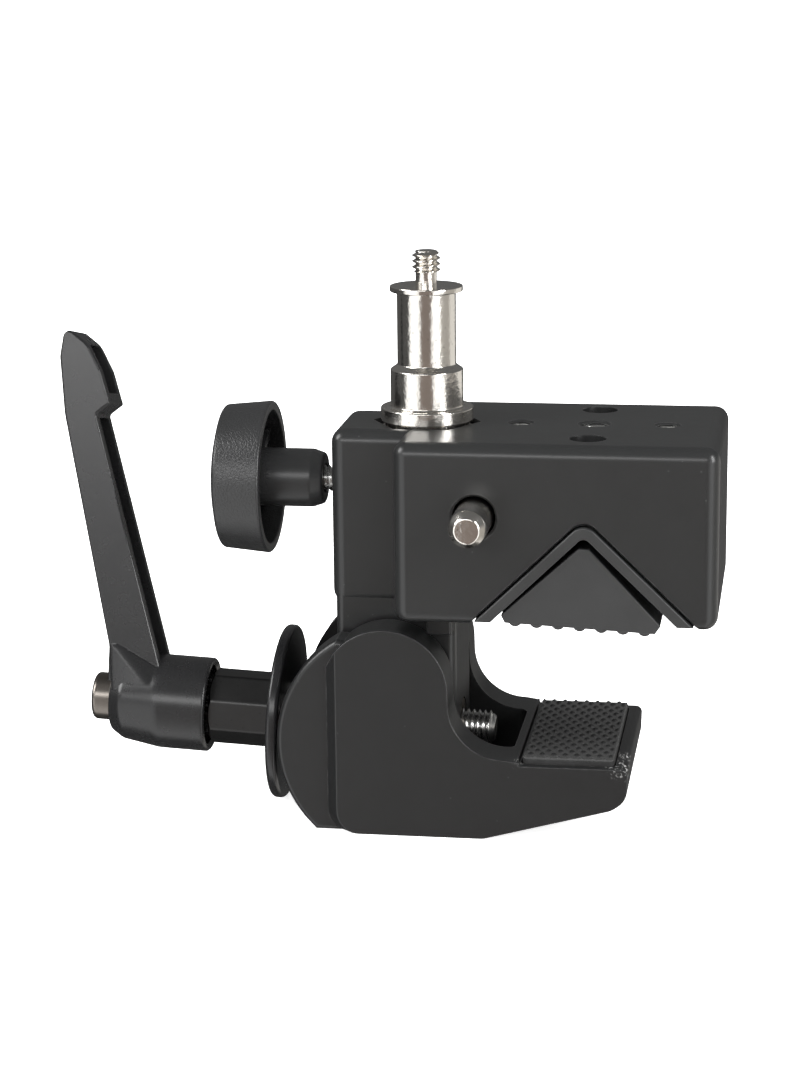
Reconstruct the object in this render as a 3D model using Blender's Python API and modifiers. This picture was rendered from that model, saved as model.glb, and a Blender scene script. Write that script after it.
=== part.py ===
"""Super clamp: a V-jaw casting, a swinging lower jaw closed by a screw with an indexing lever,
and a removable stud held in a hexagonal socket. Blender 4.5, metres, +Z up.

The origin lies on the stud's axis, in the plane of the lower jaw's flat underside, on which the
clamp stands. +X runs from the lever towards the jaw's tip, and -Y is the safety pin's side.
"""

import math

import bmesh
import bpy
from mathutils import Matrix, Vector

MM = 0.001
GAP = 0.3  # between touching pieces

# Driving dimensions, in millimetres.
TOP_Z = 88.0  # upper body's top face above the underside of the lower jaw
BLOCK_LEFT, BLOCK_RIGHT = -4.1, 65.1
BLOCK_HALF_DEPTH = 26.0
BLOCK_HEIGHT = 39.4
NECK_LEFT = -19.6
NECK_HALF_DEPTH = 13.0
NECK_HEIGHT = 39.0
LEG_LEFT, LEG_RIGHT = -18.9, 7.7
LEG_HALF_DEPTH = 12.7
LEG_END_RADIUS = 25.0  # round the jaw's pivot
EDGE_ROUND = 3.0

V_CENTRE_X = 36.75
V_APEX_DEPTH = 15.5  # the sharp corner below the top face
V_FLANK_DEG = 44.0
V_APEX_RADIUS = 3.6
LINER_THICKNESS = 2.7
LINER_HALF_DEPTH = 26.8

PIVOT_X, PIVOT_Z = -6.5, 32.6
EAR_RADIUS = 13.85
CAM_X, CAM_Z, CAM_RADIUS = -3.6, 19.8, 27.3
JAW_HALF_DEPTH = 24.25
CAM_HALF_DEPTH = 22.2
PANEL_LEFT = -17.3  # where the jaw's raised side panel begins
JAW_POCKET_HALF_DEPTH = 14.5
JAW_FLOOR = 3.0
PIVOT_PIN_RADIUS = 3.0
THROAT_X, THROAT_Z, THROAT_RADIUS = 19.4, 30.2, 12.0
SEAT_Z = 17.0
PAD_LEFT, PAD_RIGHT = 23.3, 43.3
PAD_HALF_DEPTH = 22.0
PAD_TOP = 18.6
PAD_POCKET_DEPTH = 1.5

SCREW_AXIS_Z = 18.65  # at X = 0
SCREW_TILT_DEG = 2.8  # the lever's end is higher
SCREW_RADIUS = 3.9  # M8
SCREW_END = 15.1
BUSH_RADIUS = 6.2
DISC_RADIUS = 19.7
DISC_LEFT, DISC_RIGHT = -34.1, -31.5
SLEEVE_LEFT, SLEEVE_RIGHT = -57.0, -35.3
SLEEVE_FLATS = 16.0
SPLINE_COUNT = 24
HUB_LEFT, HUB_RIGHT = -72.8, -49.9
HUB_RADIUS = 10.7
LEVER_LEAN_DEG = 12.0
LEVER_HALF_THICKNESS = 6.8
LEVER_SCREW_RADIUS = 2.4  # M5

STUD_RADIUS = 8.0  # the 5/8 inch spigot
STUD_HEX_FLATS = 19.05  # 3/4 inch
SOCKET_HEX_FLATS = 19.6
SOCKET_DEPTH = 26.0
WAIST_RADIUS = 8.8
WAIST_TOP, WAIST_BOTTOM = 78.3, 67.6
STUD_THREAD_RADIUS = 3.1  # 1/4 inch, 20 turns an inch
STUD_TOP = 125.96

PIN_X, PIN_Z = 13.4, 72.25
PIN_RADIUS = 4.09
PIN_BORE_RADIUS = 4.65

KNOB_Z = 74.6
KNOB_RADIUS = 17.0
KNOB_RIM_X, KNOB_END_X = -34.8, -47.7

WEDGE_X, WEDGE_Z = 35.9, 48.5
WEDGE_TILT_DEG = 2.8
WEDGE_HALF_DEPTH = 25.5
RIB_COUNT, RIB_PITCH, RIB_RADIUS = 7, 4.6, 0.8

PLATE_HOLES_X = (20.75, 52.7)
RECESS_Y, RECESS_DEPTH = 16.4, 3.5


def clear_scene():
    for obj in list(bpy.data.objects):
        bpy.data.objects.remove(obj)


def new_collection(name):
    collection = bpy.data.collections.new(name)
    bpy.context.scene.collection.children.link(collection)
    return collection


clear_scene()
PARTS = new_collection("super_clamp")
CUTTERS = new_collection("cutters")
CUTTERS.hide_render = True


def material(name, colour, roughness, metallic=0.0):
    mat = bpy.data.materials.new(name)
    mat.use_nodes = True
    shader = mat.node_tree.nodes["Principled BSDF"]
    shader.inputs["Base Color"].default_value = (*colour, 1.0)
    shader.inputs["Roughness"].default_value = roughness
    shader.inputs["Metallic"].default_value = metallic
    mat.diffuse_color = (*colour, 1.0)
    return mat


# Helpers. Shapes are made in millimetres, and finish() brings each part to metres.

# Quarter turns, written out so that flat faces stay exactly flat.
Z_TO_X = Matrix(((0, 0, 1, 0), (0, 1, 0, 0), (-1, 0, 0, 0), (0, 0, 0, 1)))
Z_TO_Y = Matrix(((1, 0, 0, 0), (0, 0, 1, 0), (0, -1, 0, 0), (0, 0, 0, 1)))
Y_TO_Z = Matrix(((1, 0, 0, 0), (0, 0, -1, 0), (0, 1, 0, 0), (0, 0, 0, 1)))


def mesh_object(name, bm):
    mesh = bpy.data.meshes.new(name)
    bm.to_mesh(mesh)
    bm.free()
    obj = bpy.data.objects.new(name, mesh)
    PARTS.objects.link(obj)
    return obj


def block(name, low, high):
    bm = bmesh.new()
    bmesh.ops.create_cube(bm, size=1.0)
    size = Vector(high) - Vector(low)
    centre = (Vector(high) + Vector(low)) / 2
    bmesh.ops.transform(bm, matrix=Matrix.Translation(centre) @ Matrix.Diagonal((*size, 1)), verts=bm.verts)
    return mesh_object(name, bm)


def rod(name, radius, start, end, sides=24, turn_deg=0.0, end_radius=None):
    """A cylinder, prism or cone from the point start to the point end."""
    start, end = Vector(start), Vector(end)
    along = end - start
    bm = bmesh.new()
    bmesh.ops.create_cone(
        bm,
        cap_ends=True,
        segments=sides,
        radius1=radius,
        radius2=radius if end_radius is None else end_radius,
        depth=along.length,
    )
    turn = Matrix.Rotation(math.radians(turn_deg), 4, "Z")
    aim = along.to_track_quat("Z", "Y").to_matrix().to_4x4()
    bmesh.ops.transform(bm, matrix=Matrix.Translation((start + end) / 2) @ aim @ turn, verts=bm.verts)
    return mesh_object(name, bm)


def turned(name, profile, axis="Z", centre=(0, 0, 0), steps=28):
    """Turns a profile of (radius, height) points, from top to bottom on its outer side, round an axis."""
    bm = bmesh.new()
    verts = [bm.verts.new((radius, 0, height)) for radius, height in profile]
    pairs = list(zip(verts, verts[1:]))
    if profile[0][0] > 0:
        pairs.append((verts[-1], verts[0]))
    for first, second in pairs:
        bm.edges.new((first, second))
    obj = mesh_object(name, bm)
    screw = obj.modifiers.new("Turn", "SCREW")
    screw.axis = "Z"
    screw.steps = steps
    screw.render_steps = steps
    screw.use_merge_vertices = True
    screw.merge_threshold = 0.0001
    aim = {"Z": Matrix.Identity(4), "X": Z_TO_X, "Y": Z_TO_Y}[axis]
    return baked(obj, Matrix.Translation(centre) @ aim)


def baked(obj, place=None):
    """The object as a plain mesh, with its modifiers applied and its loose caps welded."""
    bpy.context.view_layer.update()
    graph = bpy.context.evaluated_depsgraph_get()
    mesh = bpy.data.meshes.new_from_object(obj.evaluated_get(graph))
    mesh.transform((place or Matrix.Identity(4)) @ obj.matrix_world)
    bm = bmesh.new()
    bm.from_mesh(mesh)
    bmesh.ops.remove_doubles(bm, verts=bm.verts, dist=0.001)
    bmesh.ops.recalc_face_normals(bm, faces=bm.faces)
    bm.to_mesh(mesh)
    bm.free()
    name = obj.name
    bpy.data.objects.remove(obj)
    result = bpy.data.objects.new(name, mesh)
    result.name = name
    PARTS.objects.link(result)
    return result


def arc(centre, radius, start_deg, end_deg, count):
    """Points along an arc, both ends included."""
    points = []
    for i in range(count + 1):
        angle = math.radians(start_deg + (end_deg - start_deg) * i / count)
        points.append((centre[0] + radius * math.cos(angle), centre[1] + radius * math.sin(angle)))
    return points


def plate(name, outline, half_thickness):
    """A flat piece: an outline of (x, z) points, thick both ways along Y."""
    curve = bpy.data.curves.new(name, "CURVE")
    curve.dimensions = "2D"
    curve.fill_mode = "BOTH"
    curve.extrude = half_thickness
    spline = curve.splines.new("POLY")
    spline.points.add(len(outline) - 1)
    for point, (x, z) in zip(spline.points, outline):
        point.co = (x, z, 0, 1)
    spline.use_cyclic_u = True
    obj = bpy.data.objects.new(name, curve)
    PARTS.objects.link(obj)
    return baked(obj, Y_TO_Z)


def wire(name, points, radius):
    """A round wire through a list of points."""
    curve = bpy.data.curves.new(name, "CURVE")
    curve.dimensions = "3D"
    curve.bevel_depth = radius
    curve.bevel_resolution = 1
    curve.use_fill_caps = True
    spline = curve.splines.new("POLY")
    spline.points.add(len(points) - 1)
    for point, (x, y, z) in zip(spline.points, points):
        point.co = (x, y, z, 1)
    obj = bpy.data.objects.new(name, curve)
    PARTS.objects.link(obj)
    return baked(obj)


def combine(obj, operation, others):
    for other in others:
        PARTS.objects.unlink(other)
        CUTTERS.objects.link(other)
        other.hide_render = True
        other.display_type = "WIRE"
        modifier = obj.modifiers.new(f"{operation.title()} {other.name}", "BOOLEAN")
        modifier.operation = operation
        modifier.solver = "EXACT"
        modifier.object = other


def cut(obj, *cutters):
    combine(obj, "DIFFERENCE", cutters)


def join(obj, *others):
    combine(obj, "UNION", others)


def round_edges(obj, width, segments=2, angle_deg=40.0):
    bevel = obj.modifiers.new("Round", "BEVEL")
    bevel.width = width
    bevel.segments = segments
    bevel.limit_method = "ANGLE"
    bevel.angle_limit = math.radians(angle_deg)


def finish(obj, mat, parent=None, in_parent_frame=False):
    """Applies a part's modifiers, brings it to metres, and gives it its material, shading and parent.

    A part made in the world's frame is moved into its parent's, so that its origin is on the joint's axis.
    """
    part = baked(obj)
    for cutter in list(CUTTERS.objects):
        bpy.data.objects.remove(cutter)
    part.data.transform(Matrix.Scale(MM, 4))
    if parent is not None:
        if not in_parent_frame:
            part.data.transform(parent.matrix_world.inverted())
        part.parent = parent
    part.data.materials.append(mat)
    part.data.shade_smooth()
    part.data.set_sharp_from_angle(angle=math.radians(35))
    return part


def joint_empty(name, location, rotation_deg=(0, 0, 0)):
    empty = bpy.data.objects.new(name, None)
    empty.location = Vector(location) * MM
    empty.rotation_euler = [math.radians(angle) for angle in rotation_deg]
    empty.empty_display_size = 10 * MM
    PARTS.objects.link(empty)
    bpy.context.view_layer.update()
    return empty


def fillet(corner, before, after, radius, count=4):
    """A rounded corner: the arc that touches both sides of a corner of an outline."""
    corner, before, after = Vector(corner), Vector(before), Vector(after)
    first = (before - corner).normalized()
    second = (after - corner).normalized()
    half_angle = first.angle(second) / 2
    centre = corner + (first + second).normalized() * radius / math.sin(half_angle)
    start = corner + first * radius / math.tan(half_angle) - centre
    sweep = start.angle_signed(corner + second * radius / math.tan(half_angle) - centre)
    points = []
    for i in range(count + 1):
        angle = -sweep * i / count
        turned_arm = Matrix.Rotation(angle, 2) @ start
        points.append(tuple(centre + turned_arm))
    return points


def rounded_outline(corners):
    """An outline from (x, z, radius) corners. A radius of 0 keeps the corner sharp."""
    points = []
    for i, (x, z, radius) in enumerate(corners):
        if radius == 0:
            points.append((x, z))
            continue
        before = corners[i - 1][:2]
        after = corners[(i + 1) % len(corners)][:2]
        points += fillet((x, z), before, after, radius)
    return points


# The upper body and what is fixed in it.


def v_outline(inset, floor_z, apex_radius):
    """The V's outline, open side down, moved inwards from the casting's own V by inset."""
    flank = math.radians(V_FLANK_DEG)
    apex_z = TOP_Z - V_APEX_DEPTH - inset / math.cos(flank)
    half_width = (apex_z - floor_z) / math.tan(flank)
    corners = [
        (V_CENTRE_X - half_width, floor_z, 0),
        (V_CENTRE_X, apex_z, apex_radius),
        (V_CENTRE_X + half_width, floor_z, 0),
    ]
    return rounded_outline(corners)


def hexagon(name, flats, low_z, high_z):
    return rod(name, flats / math.sqrt(3), (0, 0, low_z), (0, 0, high_z), sides=6, turn_deg=30)


def make_upper_body(mat):
    body = block(
        "upper_body",
        (BLOCK_LEFT, -BLOCK_HALF_DEPTH, TOP_Z - BLOCK_HEIGHT),
        (BLOCK_RIGHT, BLOCK_HALF_DEPTH, TOP_Z),
    )
    round_edges(body, EDGE_ROUND, segments=3)
    neck = block("neck", (NECK_LEFT, -NECK_HALF_DEPTH, TOP_Z - NECK_HEIGHT), (0, NECK_HALF_DEPTH, TOP_Z))
    round_edges(neck, EDGE_ROUND, segments=3)
    left_deg = math.degrees(math.acos((LEG_LEFT - PIVOT_X) / LEG_END_RADIUS))
    right_deg = math.degrees(math.acos((LEG_RIGHT - PIVOT_X) / LEG_END_RADIUS))
    leg_outline = [(LEG_RIGHT, 60.0), (LEG_LEFT, 60.0)]
    leg_outline += arc((PIVOT_X, PIVOT_Z), LEG_END_RADIUS, -left_deg, -right_deg, 10)
    leg = plate("leg", leg_outline, LEG_HALF_DEPTH)
    join(body, neck, leg)

    below = TOP_Z - BLOCK_HEIGHT - 2.0
    v_cut = plate("v_cut", v_outline(0, below, V_APEX_RADIUS), BLOCK_HALF_DEPTH + 2)
    socket = hexagon("socket_cut", SOCKET_HEX_FLATS, TOP_Z - SOCKET_DEPTH, TOP_Z + 2)
    pin_bore = rod("pin_bore", PIN_BORE_RADIUS, (PIN_X, -30, PIN_Z), (PIN_X, 14.5, PIN_Z))
    stem_bore = rod("stem_bore", 2.3, (PIN_X, 10, PIN_Z), (PIN_X, 30, PIN_Z), sides=16)
    clip_bore = rod("clip_bore", 5.5, (PIN_X, 17, PIN_Z), (PIN_X, 30, PIN_Z))
    lock_bore = rod("lock_bore", 3.1, (-24, 0, KNOB_Z), (-6, 0, KNOB_Z), sides=24)
    pivot_bore = rod(
        "pivot_bore", PIVOT_PIN_RADIUS + GAP / 2, (PIVOT_X, -16, PIVOT_Z), (PIVOT_X, 16, PIVOT_Z)
    )
    slope = math.tan(math.radians(SCREW_TILT_DEG))
    bush_bore = rod(
        "bush_bore",
        BUSH_RADIUS + GAP,
        (-30, 0, SCREW_AXIS_Z + 30 * slope),
        (20, 0, SCREW_AXIS_Z - 20 * slope),
    )
    cut(body, v_cut, socket, pin_bore, stem_bore, clip_bore, lock_bore, pivot_bore, bush_bore)

    camera_hole = rod(
        "camera_hole", 2.6, (V_CENTRE_X, 0, 60), (V_CENTRE_X, 0, TOP_Z + 2), sides=20, turn_deg=5
    )
    mouth = (V_CENTRE_X, 0, TOP_Z + 0.1)
    chamfers = [rod("camera_chamfer", 2.2, (V_CENTRE_X, 0, TOP_Z - 1.4), mouth, 24, end_radius=3.8)]
    peg_hole = rod("peg_hole", 3.2, (V_CENTRE_X, 0, 60), (V_CENTRE_X, 0, 77.5), sides=20, turn_deg=5)
    drills = [camera_hole, peg_hole]
    for i, x in enumerate(PLATE_HOLES_X):
        drills.append(rod(f"plate_hole_{i}", 2.25, (x, 0, TOP_Z - 9), (x, 0, TOP_Z + 2), sides=20))
        mouth = (x, 0, TOP_Z + 0.1)
        chamfers.append(rod(f"plate_chamfer_{i}", 1.8, (x, 0, TOP_Z - 1.0), mouth, 20, end_radius=3.0))
    recesses = []
    for i, y in enumerate((-RECESS_Y, RECESS_Y)):
        floor = (V_CENTRE_X, y, TOP_Z - RECESS_DEPTH)
        recesses.append(rod(f"recess_{i}", 3.95, floor, (V_CENTRE_X, y, TOP_Z + 1), sides=24))
    cut(body, *drills, *chamfers, *recesses)
    return finish(body, mat)


def make_v_liner(mat):
    end_z = TOP_Z - BLOCK_HEIGHT + 1.0
    outer = v_outline(GAP, end_z, V_APEX_RADIUS - GAP)
    liner = plate("v_liner", outer, LINER_HALF_DEPTH)
    inner = plate("liner_cut", v_outline(LINER_THICKNESS, end_z - 2, 1.5), LINER_HALF_DEPTH + 2)
    peg_hole = rod("liner_hole", 3.2, (V_CENTRE_X, 0, 60), (V_CENTRE_X, 0, 80), sides=20)
    cut(liner, inner, peg_hole)
    return finish(liner, mat)


def make_stud(mat):
    """The spigot: a hexagonal foot with a turned waist, a collar, a locking groove and a thread."""
    foot = hexagon("stud", STUD_HEX_FLATS, TOP_Z - SOCKET_DEPTH + 2.0, TOP_Z + GAP + 0.2)
    waist = turned(
        "waist_cut",
        [
            (14, WAIST_TOP),
            (14, WAIST_BOTTOM),
            (WAIST_RADIUS, WAIST_BOTTOM + 0.8),
            (WAIST_RADIUS, WAIST_TOP - 0.8),
        ],
    )
    foot_z = TOP_Z + GAP
    shaft = turned(
        "stud_shaft",
        [
            (0, STUD_TOP),
            (2.6, STUD_TOP),
            (STUD_THREAD_RADIUS, STUD_TOP - 0.5),
            (STUD_THREAD_RADIUS, foot_z + 33.0),
            (2.4, foot_z + 32.6),
            (2.4, foot_z + 29.63),
            (STUD_RADIUS, foot_z + 29.63),
            (STUD_RADIUS, foot_z + 28.4),
            (6.46, foot_z + 28.4),
            (6.46, foot_z + 12.4),
            (7.4, foot_z + 11.7),
            (STUD_RADIUS, foot_z + 11.3),
            (STUD_RADIUS, foot_z + 3.06),
            (9.9, foot_z + 3.06),
            (10.2, foot_z + 2.7),
            (10.2, foot_z),
            (0, foot_z),
        ],
    )
    cut(foot, waist)
    join(foot, shaft)
    return finish(foot, mat)


def make_bush(mat, axis):
    bush = turned(
        "spindle_bush",
        [
            (SCREW_RADIUS + 0.15, 7.3),
            (BUSH_RADIUS, 7.3),
            (BUSH_RADIUS, -18.4),
            (SCREW_RADIUS + 0.15, -18.4),
        ],
        axis="X",
        steps=28,
    )
    return finish(bush, mat, axis, in_parent_frame=True)


# The lower jaw.


def throat_outline():
    """The front of the jaw from the ear's top, down the throat and along the arm to the tip."""
    left_deg = math.degrees(math.acos((PANEL_LEFT - PIVOT_X) / EAR_RADIUS))
    outline = arc((PIVOT_X, PIVOT_Z), EAR_RADIUS, left_deg, 0.0, 12)
    outline += arc((THROAT_X, THROAT_Z), THROAT_RADIUS, 180.0, 270.0, 6)
    return outline


def make_lower_jaw(mat, axis):
    panel = throat_outline()
    panel += rounded_outline(
        [
            (22.6, TOP_Z - 69.8, 0),
            (22.6, SEAT_Z, 0),
            (46.4, SEAT_Z, 1.2),
            (46.2, 10.0, 4.5),
            (43.0, 7.6, 6.0),
            (14.9, 0.0, 0),
        ]
    )
    panel += fillet((PANEL_LEFT, 0.0), (14.9, 0.0), (PANEL_LEFT, 20.0), 5.0)
    jaw = plate("lower_jaw", panel, JAW_HALF_DEPTH)
    foot_x = CAM_X - math.sqrt(CAM_RADIUS**2 - CAM_Z**2)
    cam = arc((CAM_X, CAM_Z), CAM_RADIUS, 120.0, 220.0, 13)
    cam += [(foot_x, 0.0), (0.0, 0.0), (0.0, 40.0)]
    cheeks = plate("cam_cheeks", cam, CAM_HALF_DEPTH)
    join(jaw, cheeks)
    pocket = plate(
        "jaw_pocket",
        [(-40, JAW_FLOOR), (-40, 60), (20.8, 60), (20.8, 12.0), (17.0, 5.5), (12.0, JAW_FLOOR)],
        JAW_POCKET_HALF_DEPTH,
    )
    pad_pocket = block(
        "pad_pocket",
        (PAD_LEFT - GAP, -PAD_HALF_DEPTH - GAP, SEAT_Z - PAD_POCKET_DEPTH),
        (PAD_RIGHT + GAP, PAD_HALF_DEPTH + GAP, SEAT_Z + 10),
    )
    pin_hole = rod(
        "pin_hole", PIVOT_PIN_RADIUS + GAP / 2, (PIVOT_X, -20.3, PIVOT_Z), (PIVOT_X, 30, PIVOT_Z), sides=32
    )
    cut(jaw, pocket, pad_pocket, pin_hole)
    return finish(jaw, mat, axis)


def make_jaw_pad(mat, axis):
    pad = block(
        "jaw_pad",
        (PAD_LEFT, -PAD_HALF_DEPTH, SEAT_Z - PAD_POCKET_DEPTH + GAP),
        (PAD_RIGHT, PAD_HALF_DEPTH, PAD_TOP),
    )
    round_edges(pad, 0.6, segments=1)
    return finish(pad, mat, axis)


def make_pivot_pin(mat, axis):
    pin = turned(
        "pivot_pin",
        [(0, 24.0), (2.4, 24.0), (PIVOT_PIN_RADIUS, 23.4), (PIVOT_PIN_RADIUS, -20.0), (0, -20.0)],
        axis="Y",
        centre=(PIVOT_X, 0, PIVOT_Z),
        steps=28,
    )
    return finish(pin, mat, axis)


def make_pivot_washers(mat):
    for name, side in (("pivot_washer_near", -1), ("pivot_washer_far", 1)):
        middle = side * (LEG_HALF_DEPTH + JAW_POCKET_HALF_DEPTH) / 2
        washer = turned(
            name,
            [(PIVOT_PIN_RADIUS + GAP, 0.6), (7.5, 0.6), (7.5, -0.6), (PIVOT_PIN_RADIUS + GAP, -0.6)],
            axis="Y",
            centre=(PIVOT_X, middle, PIVOT_Z),
            steps=28,
        )
        finish(washer, mat)


# The screw, its pressure disc and the indexing lever, along the X axis of their own frame.


def make_disc(mat, axis):
    disc = turned(
        "pressure_disc",
        [
            (4.2, DISC_RIGHT),
            (DISC_RADIUS - 0.7, DISC_RIGHT),
            (DISC_RADIUS, DISC_RIGHT - 0.7),
            (DISC_RADIUS, DISC_LEFT + 0.7),
            (DISC_RADIUS - 0.7, DISC_LEFT),
            (4.2, DISC_LEFT),
        ],
        axis="X",
        steps=48,
    )
    return finish(disc, mat, axis, in_parent_frame=True)


def make_spindle(mat, axis):
    spindle = turned(
        "spindle_screw",
        [
            (0, SCREW_END),
            (2.9, SCREW_END),
            (SCREW_RADIUS, SCREW_END - 1.0),
            (SCREW_RADIUS, -50.0),
            (0, -50.0),
        ],
        axis="X",
        steps=28,
    )
    return finish(spindle, mat, axis, in_parent_frame=True)


def toothed_rod(name, root, tip, low, high, phase=0.0):
    """A rod with the splines that index the lever."""
    outline = []
    for tooth in range(SPLINE_COUNT):
        for radius, share in ((root, -0.42), (tip, -0.18), (tip, 0.18), (root, 0.42)):
            angle = 2 * math.pi * (tooth + share + phase) / SPLINE_COUNT
            outline.append((radius * math.cos(angle), radius * math.sin(angle)))
    toothed = plate(name, outline, (high - low) / 2)
    toothed.data.transform(
        Matrix.Translation(((high + low) / 2, 0, 0)) @ Matrix.Rotation(math.radians(90), 4, "Z")
    )
    return toothed


def make_sleeve(mat, axis):
    """The octagonal sleeve on the screw, splined at its left end."""
    sleeve = rod(
        "spindle_sleeve",
        SLEEVE_FLATS / 2 / math.cos(math.pi / 8),
        (HUB_RIGHT + GAP, 0, 0),
        (SLEEVE_RIGHT, 0, 0),
        sides=8,
        turn_deg=22.5,
    )
    splines = toothed_rod("sleeve_splines", 6.6, 7.2, SLEEVE_LEFT, HUB_RIGHT + 1.0)
    join(sleeve, splines)
    bore = rod("sleeve_bore", SCREW_RADIUS + GAP, (-50.3, 0, 0), (-30, 0, 0), sides=28)
    tap = rod("sleeve_tap", 2.3, (-60, 0, 0), (-45, 0, 0), sides=16)
    cut(sleeve, bore, tap)
    return finish(sleeve, mat, axis, in_parent_frame=True)


def make_ring(name, inner, outer, left, right, mat, axis):
    ring = turned(name, [(inner, right), (outer, right), (outer, left), (inner, left)], axis="X", steps=28)
    return finish(ring, mat, axis, in_parent_frame=True)


def lever_outline():
    """The arm's outline in the plane of the screw: the distance along it, and the distance from it."""
    return rounded_outline(
        [
            (-60.0, 4.0, 0),
            (-79.9, 64.2, 1.0),
            (-76.9, 66.8, 0.5),
            (-79.6, 74.2, 3.0),
            (-83.0, 79.8, 6.0),
            (-88.4, 83.4, 1.4),
            (-89.4, 76.8, 8.0),
            (-87.3, 63.7, 20.0),
            (-73.5, 12.0, 5.0),
            (-73.3, 4.0, 0),
        ]
    )


def make_lever(mat, axis):
    hub = turned(
        "lever",
        [
            (0, HUB_RIGHT),
            (HUB_RADIUS - 0.6, HUB_RIGHT),
            (HUB_RADIUS, HUB_RIGHT - 0.7),
            (HUB_RADIUS, -61.4),
            (9.3, -69.8),
            (7.6, -72.2),
            (6.6, HUB_LEFT),
            (0, HUB_LEFT),
        ],
        axis="X",
        steps=32,
    )
    arm = plate("lever_arm", lever_outline(), LEVER_HALF_THICKNESS)
    arm.data.transform(Matrix.Rotation(math.radians(-LEVER_LEAN_DEG), 4, "X"))
    round_edges(arm, 0.9, segments=1)
    join(hub, arm)
    core = rod("hub_core", 5.8, (-63.0, 0, 0), (-80, 0, 0), sides=32)
    screw_way = rod("hub_screw_way", 2.7, (-66, 0, 0), (-56, 0, 0), sides=16)
    broach = toothed_rod("hub_broach", 6.9, 7.6, -57.5, -52.0)
    mouth = rod("hub_mouth", 9.1, (-53.4, 0, 0), (-45, 0, 0), sides=32)
    cut(hub, core, screw_way, broach, mouth)
    return finish(hub, mat, axis, in_parent_frame=True)


def make_lever_screw(mat, axis):
    screw = turned(
        "lever_screw",
        [
            (0, -51.0),
            (2.0, -51.0),
            (2.0, -58.4),
            (LEVER_SCREW_RADIUS, -58.6),
            (LEVER_SCREW_RADIUS, HUB_LEFT + 0.2),
            (5.4, HUB_LEFT + 0.2),
            (5.4, -76.4),
            (4.6, -77.3),
            (0, -77.3),
        ],
        axis="X",
        steps=28,
    )
    key = rod("lever_screw_key", 2.3, (-75.0, 0, 0), (-80, 0, 0), sides=6)
    cut(screw, key)
    return finish(screw, mat, axis, in_parent_frame=True)


def coil(radius, start, end, turns, points_a_turn=10):
    """Points along a coil round the X axis."""
    count = turns * points_a_turn
    points = []
    for i in range(count + 1):
        angle = 2 * math.pi * i / points_a_turn
        points.append((start + (end - start) * i / count, radius * math.cos(angle), radius * math.sin(angle)))
    return points


def make_lever_spring(mat, axis):
    spring = wire("lever_spring", coil(4.2, -71.9, -64.9, 5), 0.4)
    return finish(spring, mat, axis, in_parent_frame=True)


# The knob that locks the stud, and the safety pin.


def make_knob(mat, axis):
    knob = turned(
        "lock_knob",
        [
            (0, -36.4),
            (3.3, -36.4),
            (3.3, -22.8),
            (4.3, -22.8),
            (6.5, -24.7),
            (6.5, -43.0),
            (14.6, -42.0),
            (14.8, KNOB_RIM_X),
            (KNOB_RADIUS - 0.3, KNOB_RIM_X),
            (KNOB_RADIUS, KNOB_RIM_X - 0.5),
            (16.3, -44.4),
            (15.8, -45.1),
            (12.0, -46.3),
            (7.0, -47.3),
            (0, KNOB_END_X),
        ],
        axis="X",
        centre=(0, 0, KNOB_Z),
    )
    for i in range(3):
        rib = block(f"knob_rib_{i}", (-44.0, -15.2, -0.8), (-38.0, 15.2, 0.8))
        rib.data.transform(
            Matrix.Translation((0, 0, KNOB_Z)) @ Matrix.Rotation(math.radians(60 * i + 90), 4, "X")
        )
        join(knob, rib)
    return finish(knob, mat, axis)


def make_lock_screw(mat, axis):
    screw = turned(
        "lock_screw",
        [(0, -15.4), (1.4, -15.4), (1.4, -12.4), (2.4, -12.4), (2.9, -12.9), (2.9, -36.1), (0, -36.1)],
        axis="X",
        centre=(0, 0, KNOB_Z),
        steps=24,
    )
    return finish(screw, mat, axis)


def make_lock_tip(mat, axis):
    tip = turned(
        "lock_tip",
        [(0, -9.1), (2.3, -9.1), (2.6, -9.5), (2.6, -12.1), (1.1, -12.1), (1.1, -15.0), (0, -15.0)],
        axis="X",
        centre=(0, 0, KNOB_Z),
        steps=24,
    )
    return finish(tip, mat, axis)


def make_safety_pin(mat, axis):
    """A push pin: its full diameter blocks the stud's foot, and its neck frees it when pressed in."""
    pin = turned(
        "safety_pin",
        [
            (0, 20.5),
            (1.5, 20.5),
            (1.9, 20.1),
            (1.9, 18.4),
            (1.4, 18.4),
            (1.4, 17.2),
            (1.9, 17.2),
            (1.9, 3.5),
            (PIN_RADIUS, 3.5),
            (PIN_RADIUS, -3.1),
            (2.2, -3.1),
            (2.2, -9.9),
            (PIN_RADIUS, -9.9),
            (PIN_RADIUS, -36.9),
            (3.6, -38.0),
            (2.6, -38.6),
            (0, -38.6),
        ],
        axis="Y",
        centre=(PIN_X, 0, PIN_Z),
        steps=28,
    )
    return finish(pin, mat, axis)


def make_safety_clip(mat, axis):
    clip = plate("safety_clip", arc((0, 0), 3.9, 120, 420, 16) + arc((0, 0), 1.7, 420, 120, 12), 0.3)
    clip.data.transform(Matrix.Translation((PIN_X, 17.8, PIN_Z)))
    return finish(clip, mat, axis)


def make_safety_spring(mat, axis):
    spring = wire("safety_spring", coil(3.1, 4.4, 13.6, 5), 0.35)
    spring.data.transform(
        Matrix.Translation((PIN_X, 0, PIN_Z)) @ Matrix.Rotation(math.radians(90), 4, "Z")
    )
    return finish(spring, mat, axis)


# The wedge that fills the V for flat rails.


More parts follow.
